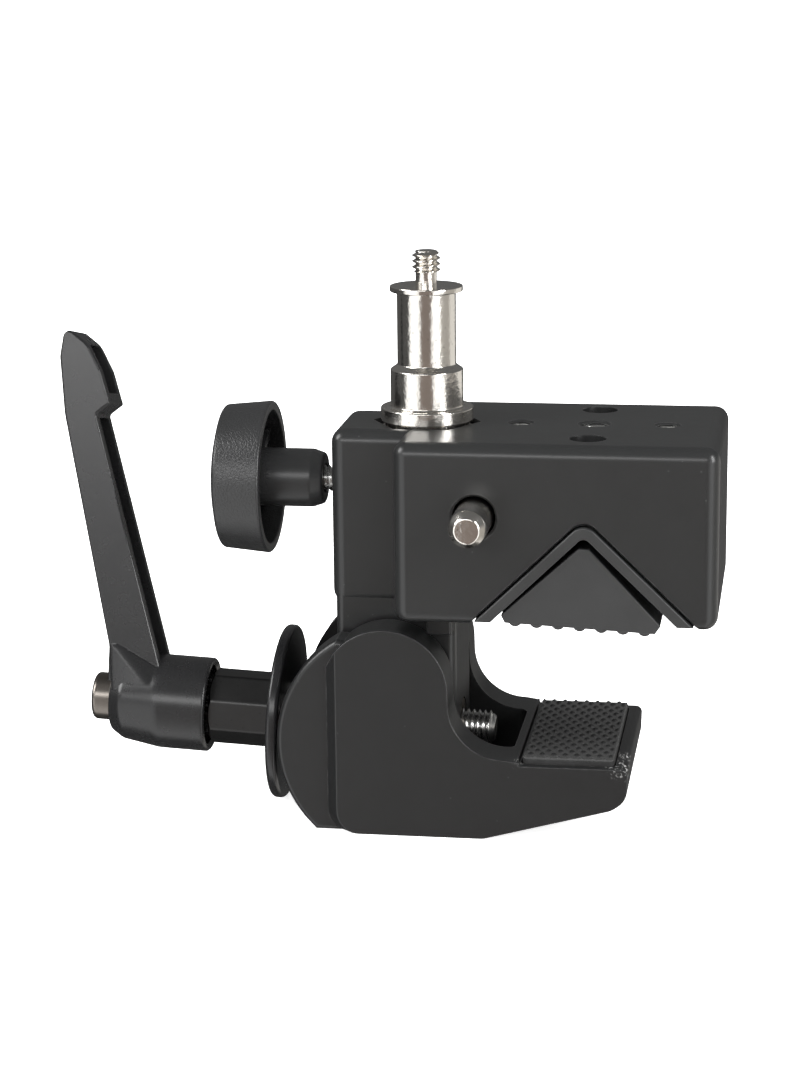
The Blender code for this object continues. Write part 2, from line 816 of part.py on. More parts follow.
def make_wedge(mat, axis):
    outline = [(-16.0, 0), (-17.0, 1.7), (-1.2, 17.5), (1.2, 17.5), (17.2, 1.9), (16.0, 0)]
    wedge = plate("wedge", outline, WEDGE_HALF_DEPTH)
    join(wedge, rod("wedge_peg", 2.2, (0, 0, 16.0), (0, 0, 28.0), sides=20))
    for i in range(RIB_COUNT):
        x = RIB_PITCH * (i - (RIB_COUNT - 1) / 2)
        end = WEDGE_HALF_DEPTH - 0.2
        join(wedge, rod(f"wedge_rib_{i}", RIB_RADIUS, (x, -end, 0.1), (x, end, 0.1), sides=8))
    return finish(wedge, mat, axis, in_parent_frame=True)


def build():
    black = material("black_powder_coat", (0.030, 0.031, 0.032), 0.42)
    liner_grey = material("liner_plastic", (0.050, 0.052, 0.052), 0.55)
    nickel = material("nickel_plate", (0.72, 0.70, 0.66), 0.18, 1.0)
    brass = material("brass", (0.72, 0.52, 0.22), 0.3, 1.0)
    steel = material("bright_steel", (0.60, 0.60, 0.60), 0.28, 1.0)
    dark_steel = material("dark_steel", (0.20, 0.19, 0.18), 0.35, 1.0)
    rubber = material("black_rubber", (0.018, 0.018, 0.018), 0.75)
    plastic = material("grained_plastic", (0.035, 0.035, 0.036), 0.5)
    nylon = material("white_nylon", (0.75, 0.75, 0.72), 0.5)
    gloss = material("black_enamel", (0.014, 0.014, 0.015), 0.22)

    make_upper_body(black)
    make_v_liner(liner_grey)
    make_stud(nickel)
    make_pivot_washers(nylon)

    jaw_axis = joint_empty("jaw_axis", (PIVOT_X, 0, PIVOT_Z))
    make_lower_jaw(material("jaw_powder_coat", (0.028, 0.029, 0.030), 0.42), jaw_axis)
    make_jaw_pad(rubber, jaw_axis)
    make_pivot_pin(steel, jaw_axis)

    screw_axis = joint_empty("screw_axis", (0, 0, SCREW_AXIS_Z), (0, SCREW_TILT_DEG, 0))
    make_bush(dark_steel, screw_axis)
    make_disc(material("disc_enamel", (0.020, 0.020, 0.021), 0.3), screw_axis)
    make_spindle(steel, screw_axis)
    make_sleeve(dark_steel, screw_axis)
    make_ring("thrust_washer", 4.2, 8.6, -35.0, -34.4, brass, screw_axis)
    make_ring("disc_clip", 4.2, 6.6, -31.2, -30.4, steel, screw_axis)
    make_ring("spring_seat", 2.8, 5.4, -64.2, -63.3, dark_steel, screw_axis)
    make_lever(gloss, screw_axis)
    make_lever_screw(dark_steel, screw_axis)
    make_lever_spring(steel, screw_axis)

    lock_axis = joint_empty("lock_axis", (0, 0, KNOB_Z))
    make_knob(plastic, lock_axis)
    make_lock_screw(steel, lock_axis)
    make_lock_tip(brass, lock_axis)

    pin_axis = joint_empty("pin_axis", (PIN_X, 0, PIN_Z))
    make_safety_pin(nickel, pin_axis)
    make_safety_clip(dark_steel, pin_axis)
    make_safety_spring(steel, pin_axis)

    wedge_axis = joint_empty("wedge_axis", (WEDGE_X, 0, WEDGE_Z), (0, WEDGE_TILT_DEG, 0))
    make_wedge(material("wedge_plastic", (0.032, 0.032, 0.033), 0.5), wedge_axis)


build()
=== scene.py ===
"""The looks of the super clamp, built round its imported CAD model. Blender 4.5.

Shapes are modelled in millimetres in the frame's own axes, and finished() brings each one to metres.
Sizes repeat the CAD part's, and places are read from the frame where a node's box gives them.
"""

import math

import bmesh
import bpy
from mathutils import Matrix, Vector


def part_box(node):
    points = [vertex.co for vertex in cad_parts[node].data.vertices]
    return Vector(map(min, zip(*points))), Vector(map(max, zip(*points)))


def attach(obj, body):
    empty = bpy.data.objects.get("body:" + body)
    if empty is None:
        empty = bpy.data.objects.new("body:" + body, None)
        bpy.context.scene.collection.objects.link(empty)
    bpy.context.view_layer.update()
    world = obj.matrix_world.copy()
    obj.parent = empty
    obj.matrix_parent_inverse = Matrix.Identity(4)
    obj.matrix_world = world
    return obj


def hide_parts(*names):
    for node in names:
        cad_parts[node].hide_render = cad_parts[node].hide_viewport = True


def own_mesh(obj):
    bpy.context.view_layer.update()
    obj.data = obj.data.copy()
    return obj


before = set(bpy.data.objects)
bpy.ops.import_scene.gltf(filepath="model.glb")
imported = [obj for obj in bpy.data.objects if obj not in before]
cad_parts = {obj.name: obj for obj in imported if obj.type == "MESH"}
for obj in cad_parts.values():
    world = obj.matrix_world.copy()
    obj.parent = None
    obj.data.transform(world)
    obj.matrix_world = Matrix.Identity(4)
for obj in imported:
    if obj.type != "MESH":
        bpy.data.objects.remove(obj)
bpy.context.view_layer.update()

MM = 0.001


def low(node, axis):
    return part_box(node)[0]["XYZ".index(axis)] / MM


def high(node, axis):
    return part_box(node)[1]["XYZ".index(axis)] / MM


# Driving dimensions, in millimetres.
TOP_Z = high("upper_body", "Z")
BLOCK_LEFT, BLOCK_RIGHT = -4.1, high("upper_body", "X")
BLOCK_HALF_DEPTH = high("upper_body", "Y")
BLOCK_HEIGHT = 39.4
NECK_LEFT = low("upper_body", "X")
NECK_HALF_DEPTH = 13.0
NECK_HEIGHT = 39.0
LEG_LEFT, LEG_RIGHT = -18.9, 7.7
LEG_HALF_DEPTH = 12.7
LEG_END_RADIUS = 25.0
EDGE_ROUND = 3.0

V_CENTRE_X = 36.75
V_APEX_DEPTH = 15.5
V_FLANK_DEG = 44.0
V_APEX_RADIUS = 3.6
LINER_GAP = 0.3
LINER_THICKNESS = 2.7
LINER_HALF_DEPTH = high("v_liner", "Y")

PIVOT_X, PIVOT_Z = -6.5, 32.6
EAR_RADIUS = 13.85
CAM_X, CAM_Z, CAM_RADIUS = -3.6, 19.8, 27.3
JAW_HALF_DEPTH = high("lower_jaw", "Y")
CAM_HALF_DEPTH = 22.2
PANEL_LEFT = -17.3
JAW_POCKET_HALF_DEPTH = 14.5
JAW_FLOOR = 3.0
PIVOT_PIN_RADIUS = 3.0
THROAT_X, THROAT_Z, THROAT_RADIUS = 19.4, 30.2, 12.0
SEAT_Z = 17.0
PAD_LEFT, PAD_RIGHT = low("jaw_pad", "X"), high("jaw_pad", "X")
PAD_HALF_DEPTH = high("jaw_pad", "Y")
PAD_BOTTOM, PAD_TOP = low("jaw_pad", "Z"), high("jaw_pad", "Z")

SCREW_AXIS_Z = 18.65
SCREW_TILT_DEG = 2.8
SCREW_RADIUS = 3.9
SCREW_END = 15.1
DISC_RADIUS = 19.7
DISC_LEFT, DISC_RIGHT = -34.1, -31.5
SLEEVE_LEFT, SLEEVE_RIGHT = -57.0, -35.3
SLEEVE_FLATS = 16.0
SPLINE_COUNT = 24
HUB_LEFT, HUB_RIGHT = -72.8, -49.9
HUB_RADIUS = 10.7
SCREW_HEAD_END = -77.3
LEVER_LEAN_DEG = 12.0
LEVER_HALF_THICKNESS = 6.8

STUD_RADIUS = 8.0
STUD_HEX_FLATS = 19.05
SOCKET_HEX_FLATS = 20.2
SOCKET_DEPTH = 26.0
WAIST_RADIUS = 8.8
WAIST_TOP, WAIST_BOTTOM = 78.3, 67.6
STUD_TOP = high("stud", "Z")

PIN_X, PIN_Z = 13.4, 72.25
PIN_RADIUS = 4.09
PIN_BORE_RADIUS = 4.65
PIN_END_Y = low("safety_pin", "Y")
KNOB_Z = 74.6
KNOB_RADIUS = 17.0
KNOB_RIM_X, KNOB_END_X = -34.8, -47.7

WEDGE_X, WEDGE_Z = 35.9, 48.5
WEDGE_TILT_DEG = 2.8
WEDGE_HALF_DEPTH = 25.5
RIB_COUNT, RIB_PITCH, RIB_RADIUS, RIB_PROUD = 7, 4.6, 1.5, 0.6

PLATE_HOLES_X = (20.75, 52.7)
CAMERA_PITCH, PLATE_PITCH, CLOSING_PITCH, HUB_PITCH, LOCK_PITCH = 1.27, 0.8, 1.25, 0.8, 1.0
RECESS_Y, RECESS_DEPTH = 16.4, 3.5

# Quarter turns, written out so that flat faces stay exactly flat.
Z_TO_X = Matrix(((0, 0, 1, 0), (0, 1, 0, 0), (-1, 0, 0, 0), (0, 0, 0, 1)))
Z_TO_Y = Matrix(((1, 0, 0, 0), (0, 0, 1, 0), (0, -1, 0, 0), (0, 0, 0, 1)))
SPINDLE = Matrix.Translation((0, 0, SCREW_AXIS_Z)) @ Matrix.Rotation(math.radians(SCREW_TILT_DEG), 4, "Y")
KNOB_AXIS = Matrix.Translation((0, 0, KNOB_Z)) @ Z_TO_X
PIN_AXIS = Matrix.Translation((PIN_X, 0, PIN_Z)) @ Z_TO_Y
WEDGE = Matrix.Translation((WEDGE_X, 0, WEDGE_Z)) @ Matrix.Rotation(math.radians(WEDGE_TILT_DEG), 4, "Y")


# Outlines.


def arc(centre, radius, start_deg, end_deg, count):
    points = []
    for i in range(count + 1):
        angle = math.radians(start_deg + (end_deg - start_deg) * i / count)
        points.append((centre[0] + radius * math.cos(angle), centre[1] + radius * math.sin(angle)))
    return points


def fillet(corner, before, after, radius, count=6):
    """The arc that touches both sides of a corner of an outline."""
    corner, before, after = Vector(corner), Vector(before), Vector(after)
    first = (before - corner).normalized()
    second = (after - corner).normalized()
    half_angle = first.angle(second) / 2
    centre = corner + (first + second).normalized() * radius / math.sin(half_angle)
    start = corner + first * radius / math.tan(half_angle) - centre
    sweep = start.angle_signed(corner + second * radius / math.tan(half_angle) - centre)
    return [tuple(centre + Matrix.Rotation(-sweep * i / count, 2) @ start) for i in range(count + 1)]


def rounded(corners, count=6):
    """A closed outline from (x, z) or (x, z, radius) corners."""
    points = []
    for i, corner in enumerate(corners):
        if len(corner) == 2:
            points.append(corner)
            continue
        before = corners[i - 1][:2]
        after = corners[(i + 1) % len(corners)][:2]
        points += fillet(corner[:2], before, after, corner[2], count)
    return points


def v_outline(inset, floor_z, apex_radius):
    """The V's outline, open side down, moved inwards from the casting's own V by inset."""
    flank = math.radians(V_FLANK_DEG)
    apex_z = TOP_Z - V_APEX_DEPTH - inset / math.cos(flank)
    half_width = (apex_z - floor_z) / math.tan(flank)
    left, right = V_CENTRE_X - half_width, V_CENTRE_X + half_width
    return rounded([(left, floor_z), (V_CENTRE_X, apex_z, apex_radius), (right, floor_z)], 10)


# Solids. Each helper returns a closed mesh object in millimetres.


def new_object(name, bm):
    bmesh.ops.recalc_face_normals(bm, faces=bm.faces)
    mesh = bpy.data.meshes.new(name)
    bm.to_mesh(mesh)
    bm.free()
    obj = bpy.data.objects.new(name, mesh)
    bpy.context.scene.collection.objects.link(obj)
    return obj


def loft(name, sections):
    """A skin over closed sections with equal numbers of points, capped at both ends."""
    bm = bmesh.new()
    rings = [[bm.verts.new(point) for point in section] for section in sections]
    for ring, following in zip(rings, rings[1:]):
        for i in range(len(ring)):
            j = (i + 1) % len(ring)
            bm.faces.new((ring[i], ring[j], following[j], following[i]))
    bm.faces.new(rings[0])
    bm.faces.new(reversed(rings[-1]))
    return new_object(name, bm)


def plate(name, outline, half_thickness):
    """An outline in X and Z, made into a plate across Y."""
    return loft(name, [[(x, y, z) for x, z in outline] for y in (-half_thickness, half_thickness)])


def upright(name, outline, bottom, top):
    """An outline in X and Y, made into a prism along Z."""
    return loft(name, [[(x, y, z) for x, y in outline] for z in (bottom, top)])


def box_solid(name, corner, opposite):
    (x0, y0, z0), (x1, y1, z1) = corner, opposite
    return upright(name, [(x0, y0), (x1, y0), (x1, y1), (x0, y1)], z0, z1)


def turned(name, profile, steps=96, hollow=False):
    """Rings round Z from (radius, height) points, from the top down the outer side. A radius may be a
    function of the angle, as a thread's is. A hollow shape's profile closes on itself."""
    bm = bmesh.new()
    rings = []
    for radius, height in profile:
        if radius == 0:
            rings.append([bm.verts.new((0, 0, height))])
            continue
        ring = []
        for i in range(steps):
            angle = 2 * math.pi * i / steps
            reach = radius(angle) if callable(radius) else radius
            ring.append(bm.verts.new((reach * math.cos(angle), reach * math.sin(angle), height)))
        rings.append(ring)
    pairs = list(zip(rings, rings[1:]))
    if hollow:
        pairs.append((rings[-1], rings[0]))
    for upper, lower in pairs:
        for i in range(steps):
            j = (i + 1) % steps
            if len(upper) == 1:
                bm.faces.new((upper[0], lower[i], lower[j]))
            elif len(lower) == 1:
                bm.faces.new((upper[i], lower[0], upper[j]))
            else:
                bm.faces.new((upper[i], lower[i], lower[j], upper[j]))
    return new_object(name, bm)


def rod(name, radius, start, end, sides=48, end_radius=None):
    """A cylinder, prism or cone from the point start to the point end."""
    start, end = Vector(start), Vector(end)
    obj = turned(
        name,
        [
            (0, (end - start).length),
            (radius if end_radius is None else end_radius, (end - start).length),
            (radius, 0),
            (0, 0),
        ],
        sides,
    )
    aim = (end - start).to_track_quat("Z", "Y").to_matrix().to_4x4()
    obj.data.transform(Matrix.Translation(start) @ aim)
    return obj


def hexagon(name, flats, bottom, top, top_flats=None):
    """A hexagonal prism round Z with flats towards -Y and +Y, or a tapering one."""
    sections = []
    for height, across in ((bottom, flats), (top, top_flats or flats)):
        corner = across / math.sqrt(3)
        sections.append([(x, y, height) for x, y in arc((0, 0), corner, 0, 300, 5)])
    return loft(name, sections)


def hull(name, points):
    bm = bmesh.new()
    for point in points:
        bm.verts.new(point)
    bmesh.ops.convex_hull(bm, input=bm.verts)
    bmesh.ops.dissolve_limit(bm, angle_limit=0.01, verts=bm.verts, edges=bm.edges)
    return new_object(name, bm)


def tube(name, points, radius):
    """A round wire along points, with flat ends."""
    sides = 12
    points = [Vector(point) for point in points]
    sections = []
    side = None
    for i, point in enumerate(points):
        along = (points[min(i + 1, len(points) - 1)] - points[max(i - 1, 0)]).normalized()
        side = along.orthogonal() if side is None else side - along * side.dot(along)
        side.normalize()
        other = along.cross(side)
        ring = []
        for k in range(sides):
            angle = 2 * math.pi * k / sides
            ring.append(point + radius * (math.cos(angle) * side + math.sin(angle) * other))
        sections.append(ring)
    return loft(name, sections)


def thread_rings(crest, root, top, bottom, pitch, top_chamfer=0.0):
    """The rings of a right-handed thread for turned(), from the top down, cut back at its chamfer."""
    rings = []
    rings_a_turn = 12
    count = round((top - bottom) / pitch * rings_a_turn)
    for i in range(count + 1):
        height = top - (top - bottom) * i / count
        cut_back = max(top_chamfer - (top - height), 0.0)

        def radius(angle, height=height, most=crest - cut_back):
            share = (height / pitch - angle / (2 * math.pi)) % 1.0
            flank = 1.0 - abs(2.0 * share - 1.0)
            tooth = min(max((flank - 0.14) / 0.72, 0.0), 1.0)
            return min(most, root + (crest - root) * tooth)

        rings.append((radius, height))
    return rings


def moved(obj, matrix):
    obj.data.transform(matrix)
    return obj


def combined(obj, operation, others):
    for other in others:
        modifier = obj.modifiers.new("Combine", "BOOLEAN")
        modifier.operation = operation
        modifier.solver = "EXACT"
        modifier.object = other
    bpy.context.view_layer.update()
    graph = bpy.context.evaluated_depsgraph_get()
    mesh = bpy.data.meshes.new_from_object(obj.evaluated_get(graph))
    obj.modifiers.clear()
    obj.data = mesh
    for other in others:
        bpy.data.objects.remove(other)
    return obj


def joined(obj, *others):
    return combined(obj, "UNION", others)


def cut(obj, *others):
    return combined(obj, "DIFFERENCE", others)


def rims(half_depth):
    """Picks the edges that lie in a plate's two faces."""
    return lambda a, b: abs(abs(a.y) - half_depth) < 0.01 and abs(a.y - b.y) < 0.01


def softened(obj, width, segments=4, where=None, least_deg=25.0):
    """Rounds an object's outward edges: all of them, or those that where() picks by their two ends."""
    bm = bmesh.new()
    bm.from_mesh(obj.data)
    bmesh.ops.remove_doubles(bm, verts=bm.verts, dist=0.002)
    edges = []
    for edge in bm.edges:
        if len(edge.link_faces) != 2 or edge.calc_face_angle() < math.radians(least_deg):
            continue
        if not edge.is_convex:
            continue
        if where is None or where(*[vert.co for vert in edge.verts]):
            edges.append(edge)
    bmesh.ops.bevel(
        bm,
        geom=edges,
        offset=width,
        offset_type="OFFSET",
        segments=segments,
        profile=0.5,
        affect="EDGES",
        clamp_overlap=True,
        miter_outer="ARC",
    )
    bm.to_mesh(obj.data)
    bm.free()
    return obj


def finished(obj, mat, body, replaced=None, sharp_deg=32.0):
    """Brings a piece to metres, gives it its material, smooths it, hangs it on its body and hides any CAD
    part that it replaces.
    """
    obj.data.transform(Matrix.Scale(MM, 4))
    obj.data.materials.clear()
    obj.data.materials.append(mat)
    obj.data.shade_smooth()
    obj.data.set_sharp_from_angle(angle=math.radians(sharp_deg))
    weighted = obj.modifiers.new("Normals", "WEIGHTED_NORMAL")
    weighted.keep_sharp = True
    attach(obj, body)
    if replaced:
        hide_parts(replaced)
    return obj


# Materials. Object coordinates are metres, so a noise scale of 1000 has grains about 1 mm wide.


class Surface:
    """A Principled material with helpers for the noises, bumps and worn edges that all of them use."""

    def __init__(self, name, colour, roughness, metallic=0.0, specular=0.5):
        self.mat = bpy.data.materials.new(name)
        self.mat.use_nodes = True
        self.tree = self.mat.node_tree
        self.shader = self.tree.nodes["Principled BSDF"]
        self.shader.inputs["Metallic"].default_value = metallic
        self.shader.inputs["Specular IOR Level"].default_value = specular
        self.mat.diffuse_color = (*colour, 1.0)
        self.coordinates = self.node("ShaderNodeTexCoord").outputs["Object"]
        self.colour = colour
        self.roughness = roughness
        self.normal = None

    def node(self, kind, **settings):
        made = self.tree.nodes.new(kind)
        for key, value in settings.items():
            setattr(made, key, value)
        return made

    def link(self, source, target):
        self.tree.links.new(source, target)

    def noise(self, scale, detail=2.0, stretch=(1, 1, 1)):
        place = self.node("ShaderNodeMapping")
        place.inputs["Scale"].default_value = stretch
        self.link(self.coordinates, place.inputs["Vector"])
        noise = self.node("ShaderNodeTexNoise")
        noise.inputs["Scale"].default_value = scale
        noise.inputs["Detail"].default_value = detail
        self.link(place.outputs["Vector"], noise.inputs["Vector"])
        return noise.outputs["Fac"]

    def cells(self, scale, feature="F1"):
        voronoi = self.node("ShaderNodeTexVoronoi", feature=feature)
        voronoi.inputs["Scale"].default_value = scale
        self.link(self.coordinates, voronoi.inputs["Vector"])
        return voronoi.outputs["Distance"]

    def ramp(self, source, stops):
        """A colour ramp from (position, grey value or colour) stops."""
        ramp = self.node("ShaderNodeValToRGB")
        elements = ramp.color_ramp.elements
        while len(elements) < len(stops):
            elements.new(0.5)
        for element, (position, value) in zip(elements, stops):
            element.position = position
            colour = value if isinstance(value, tuple) else (value,) * 3
            element.color = (*colour, 1.0)
        self.link(source, ramp.inputs["Fac"])
        return ramp.outputs["Color"]

    def bump(self, height, depth_mm):
        """Adds a bump of this depth on top of the ones before it."""
        bump = self.node("ShaderNodeBump")
        bump.inputs["Distance"].default_value = depth_mm * MM
        self.link(height, bump.inputs["Height"])
        if self.normal:
            self.link(self.normal, bump.inputs["Normal"])
        self.normal = bump.outputs["Normal"]

    def worn_edges(self, radius_mm, amount):
        """A mask that is bright within a short way of sharp edges, broken up by noise."""
        bevel = self.node("ShaderNodeBevel", samples=6)
        bevel.inputs["Radius"].default_value = radius_mm * MM
        geometry = self.node("ShaderNodeNewGeometry")
        dot = self.node("ShaderNodeVectorMath", operation="DOT_PRODUCT")
        self.link(bevel.outputs["Normal"], dot.inputs[0])
        self.link(geometry.outputs["Normal"], dot.inputs[1])
        edge = self.ramp(dot.outputs["Value"], [(0.93, 1.0), (0.995, 0.0)])
        patches = self.ramp(self.noise(420.0, 3.0), [(0.42, 0.15), (0.62, 1.0)])
        scaled = self.node("ShaderNodeMath", operation="MULTIPLY")
        scaled.inputs[1].default_value = amount
        self.link(self.times(edge, patches), scaled.inputs[0])
        return scaled.outputs[0]

    def along(self, axis, start_mm, end_mm):
        """A mask that rises from 0 to 1 between two places on an axis."""
        split = self.node("ShaderNodeSeparateXYZ")
        self.link(self.coordinates, split.inputs["Vector"])
        share = self.node("ShaderNodeMapRange")
        share.inputs["From Min"].default_value = start_mm * MM
        share.inputs["From Max"].default_value = end_mm * MM
        self.link(split.outputs[axis], share.inputs["Value"])
        return share.outputs["Result"]

    def times(self, first, second):
        product = self.node("ShaderNodeMath", operation="MULTIPLY")
        self.link(first, product.inputs[0])
        self.link(second, product.inputs[1])
        return product.outputs[0]

    def near(self, place_mm, radius_mm):
        """A mask that is 1 at a place and falls to 0 at this distance from it."""
        reach = self.node("ShaderNodeVectorMath", operation="DISTANCE")
        reach.inputs[1].default_value = [c * MM for c in place_mm]
        self.link(self.coordinates, reach.inputs[0])
        share = self.node("ShaderNodeMapRange")
        share.inputs["From Min"].default_value = radius_mm * MM
        share.inputs["From Max"].default_value = 0.3 * radius_mm * MM
        self.link(reach.outputs["Value"], share.inputs["Value"])
        return share.outputs["Result"]

    def mixed(self, factor, first, second):
        mix = self.node("ShaderNodeMix", data_type="RGBA")
        self.link(factor, mix.inputs["Factor"])
        for socket, value in ((mix.inputs[6], first), (mix.inputs[7], second)):
            if isinstance(value, tuple):
                socket.default_value = (*value, 1.0)
            else:
                self.link(value, socket)
        return mix.outputs[2]

    def rubbed(self, colour_out, radius_mm, amount, pale):
        """Lightens the colour along worn edges, to a grey value or a colour."""
        pale = pale if isinstance(pale, tuple) else (pale,) * 3
        return self.mixed(self.worn_edges(radius_mm, amount), colour_out, pale)

    def done(self, colour_out, roughness_out):
        self.link(colour_out, self.shader.inputs["Base Color"])
        self.link(roughness_out, self.shader.inputs["Roughness"])
        if self.normal:
            self.link(self.normal, self.shader.inputs["Normal"])
        return self.mat


def shades(colour, spread):
    return tuple(c * (1 - spread) for c in colour), tuple(c * (1 + spread) for c in colour)


def varied(surface, spread=0.12, scale=60.0, roughness_spread=0.05):
    """Slow drifts of colour and roughness over a surface."""
    drift = surface.noise(scale, 3.0)
    dark, light = shades(surface.colour, spread)
    colour = surface.ramp(drift, [(0.2, dark), (0.8, light)])
    low_rough = surface.roughness - roughness_spread
    high_rough = surface.roughness + roughness_spread
    rough = surface.ramp(surface.noise(scale * 4, 4.0), [(0.15, low_rough), (0.85, high_rough)])
    return colour, rough


def painted(name, colour, roughness, grain_mm, worn, scuffed=()):
    """Paint or powder coat: fine orange peel, small specks, edges rubbed pale, and any scuffs."""
    surface = Surface(name, colour, roughness)
    colour_out, rough_out = varied(surface, 0.05, 60.0, 0.015)
    surface.bump(surface.noise(1700.0, 3.0), grain_mm)
    surface.bump(surface.noise(330.0, 2.0), grain_mm * 1.6)
    specks = surface.ramp(surface.cells(260.0), [(0.035, 0.6), (0.06, 0.0)])
    colour_out = surface.mixed(specks, colour_out, tuple(c * 3.0 + 0.01 for c in colour))
    colour_out = surface.rubbed(colour_out, 0.35, worn, 0.16)
    for place, radius in scuffed:
        scratches = surface.ramp(surface.noise(1900.0, 3.0, (1.0, 0.5, 1.0)), [(0.57, 0.0), (0.62, 1.0)])
        scuff = surface.times(surface.near(place, radius), scratches)
        colour_out = surface.mixed(scuff, colour_out, (0.38, 0.38, 0.37))
    return surface.done(colour_out, rough_out)


def plastic(name, colour, roughness, grain_scale, grain_mm, worn=0.25):
    """Moulded plastic with an even spark-eroded grain."""
    surface = Surface(name, colour, roughness)
    colour_out, rough_out = varied(surface, 0.08)
    surface.bump(surface.noise(grain_scale, 2.0), grain_mm)
    colour_out = surface.rubbed(colour_out, 0.25, worn, 0.13)
    return surface.done(colour_out, rough_out)


def leather_grain(name, colour, roughness):
    """The knob's pebbled grain on its rim: smooth raised cells between fine furrows. The boss is smooth."""
    surface = Surface(name, colour, roughness)
    colour_out, rough_out = varied(surface, 0.06, 60.0, 0.02)
    furrows = surface.ramp(surface.cells(1300.0, "DISTANCE_TO_EDGE"), [(0.0, 0.0), (0.25, 1.0)])
    surface.bump(surface.times(furrows, surface.along("X", -34.0, -34.5)), 0.024)
    surface.bump(surface.noise(2600.0, 2.0), 0.005)
    colour_out = surface.rubbed(colour_out, 0.3, 0.3, 0.13)
    return surface.done(colour_out, rough_out)


def metal(name, colour, roughness, peel_mm, pits=0.3, peel_scale=1500.0):
    """Bare or plated metal: orange peel, tiny pits and edges rubbed brighter."""
    surface = Surface(name, colour, roughness, metallic=1.0)
    colour_out, rough_out = varied(surface, 0.05, 90.0, 0.03)
    surface.bump(surface.noise(peel_scale, 4.0), peel_mm)
    specks = surface.ramp(surface.cells(700.0), [(0.10, pits), (0.2, 0.0)])
    colour_out = surface.mixed(specks, colour_out, tuple(c * 0.35 for c in colour))
    colour_out = surface.rubbed(colour_out, 0.2, 0.5, tuple(min(1.0, c * 1.25) for c in colour))
    return surface.done(colour_out, rough_out)


def rubber(name, colour, roughness):
    surface = Surface(name, colour, roughness)
    dust = surface.ramp(surface.noise(240.0, 5.0), [(0.45, 0.0), (0.75, 0.5)])
    colour_out, rough_out = varied(surface, 0.15)
    surface.bump(surface.noise(3000.0, 3.0), 0.012)
    colour_out = surface.mixed(dust, colour_out, tuple(c * 2.2 for c in colour))
    # Painted shade and painted light: the diamond tops are painted darker and the hollows between them
    # lighter, for the shade and light that the pad shows.
    painted_shade_tops = surface.along("Z", PAD_TOP - 0.35, PAD_TOP - 0.05)
    painted_light_valleys = surface.along("Z", PAD_TOP - 0.55, PAD_TOP - 0.4)
    colour_out = surface.mixed(painted_light_valleys, colour_out, (0.040, 0.040, 0.0395))
    colour_out = surface.mixed(painted_shade_tops, colour_out, (0.006, 0.006, 0.006))
    colour_out = surface.rubbed(colour_out, 0.2, 0.35, 0.10)
    return surface.done(colour_out, rough_out)


# Where the paint is scratched: the lip's near end beside the pad, as a place and a radius.
JAW_SCUFFS = (((44.9, -21.0, 17.3), 4.6), ((45.0, -14.0, 17.0), 3.0), ((22.0, -22.6, 17.0), 1.8))

BODY_PAINT = painted("body_powder_coat", (0.0115, 0.0118, 0.0119), 0.31, 0.003, 0.25)
JAW_PAINT = painted("jaw_powder_coat", (0.0080, 0.0082, 0.0084), 0.32, 0.003, 0.3, scuffed=JAW_SCUFFS)
LEVER_PAINT = painted("lever_enamel", (0.0085, 0.0085, 0.0088), 0.27, 0.003, 0.2)
DISC_PAINT = painted("disc_enamel", (0.008, 0.008, 0.0085), 0.25, 0.004, 0.3)
LINER_PLASTIC = plastic("liner_plastic", (0.016, 0.0165, 0.0165), 0.42, 1500.0, 0.006)
WEDGE_PLASTIC = plastic("wedge_plastic", (0.018, 0.0184, 0.0186), 0.45, 1900.0, 0.018)
KNOB_PLASTIC = leather_grain("knob_plastic", (0.014, 0.0142, 0.0145), 0.32)
PAD_RUBBER = rubber("pad_rubber", (0.012, 0.012, 0.012), 0.62)
NICKEL = metal("nickel_plate", (0.80, 0.77, 0.72), 0.17, 0.060, 0.35, 1100.0)
BRIGHT_STEEL = metal("bright_steel", (0.66, 0.66, 0.65), 0.24, 0.006, 0.2)
DARK_STEEL = metal("dark_steel", (0.22, 0.20, 0.18), 0.30, 0.010, 0.3)
BLACKED_STEEL = metal("blacked_steel", (0.060, 0.060, 0.060), 0.38, 0.012, 0.2)
BRASS = metal("brass", (0.72, 0.52, 0.22), 0.28, 0.006, 0.2)
ALUMINIUM = metal("bare_aluminium", (0.62, 0.62, 0.60), 0.30, 0.006, 0.2)
NYLON = plastic("white_nylon", (0.70, 0.70, 0.66), 0.45, 900.0, 0.006, 0.0)


# The upper body.


def flared_v_cutter():
    """The V, opened out by a small chamfer where it meets the casting's faces."""
    below = TOP_Z - BLOCK_HEIGHT - 2.0
    face, chamfer = BLOCK_HALF_DEPTH, 0.5
    steps = [(-face - 0.1, -chamfer), (-face + chamfer, 0), (face - chamfer, 0), (face + 0.1, -chamfer)]
    sections = []
    for y, inset in steps:
        outline = v_outline(inset, below, V_APEX_RADIUS)
        sections.append([(x, y, z) for x, z in outline])
    return loft("v_cutter", sections)


def drilled(name, radius, x, y, bottom, chamfer):
    """A drill with a countersink at the body's top face."""
    drill = turned(
        name,
        [
            (0, TOP_Z + 1.0),
            (radius + chamfer + 1.0, TOP_Z + 1.0),
            (radius, TOP_Z - chamfer),
            (radius, bottom),
            (0, bottom - radius * 0.5),
        ],
        48,
    )
    return moved(drill, Matrix.Translation((x, y, 0)))


def thread_sleeve(name, outer, crest, x, top, bottom, pitch):
    """The bare thread in a tapped hole, as a thin ring that lines it."""
    inner = thread_rings(outer - 0.05, crest, top, bottom, pitch)
    profile = [(outer, top)] + [(outer, bottom)] + list(reversed(inner))
    sleeve = turned(name, profile, 48, hollow=True)
    return moved(sleeve, Matrix.Translation((x, 0, 0)))


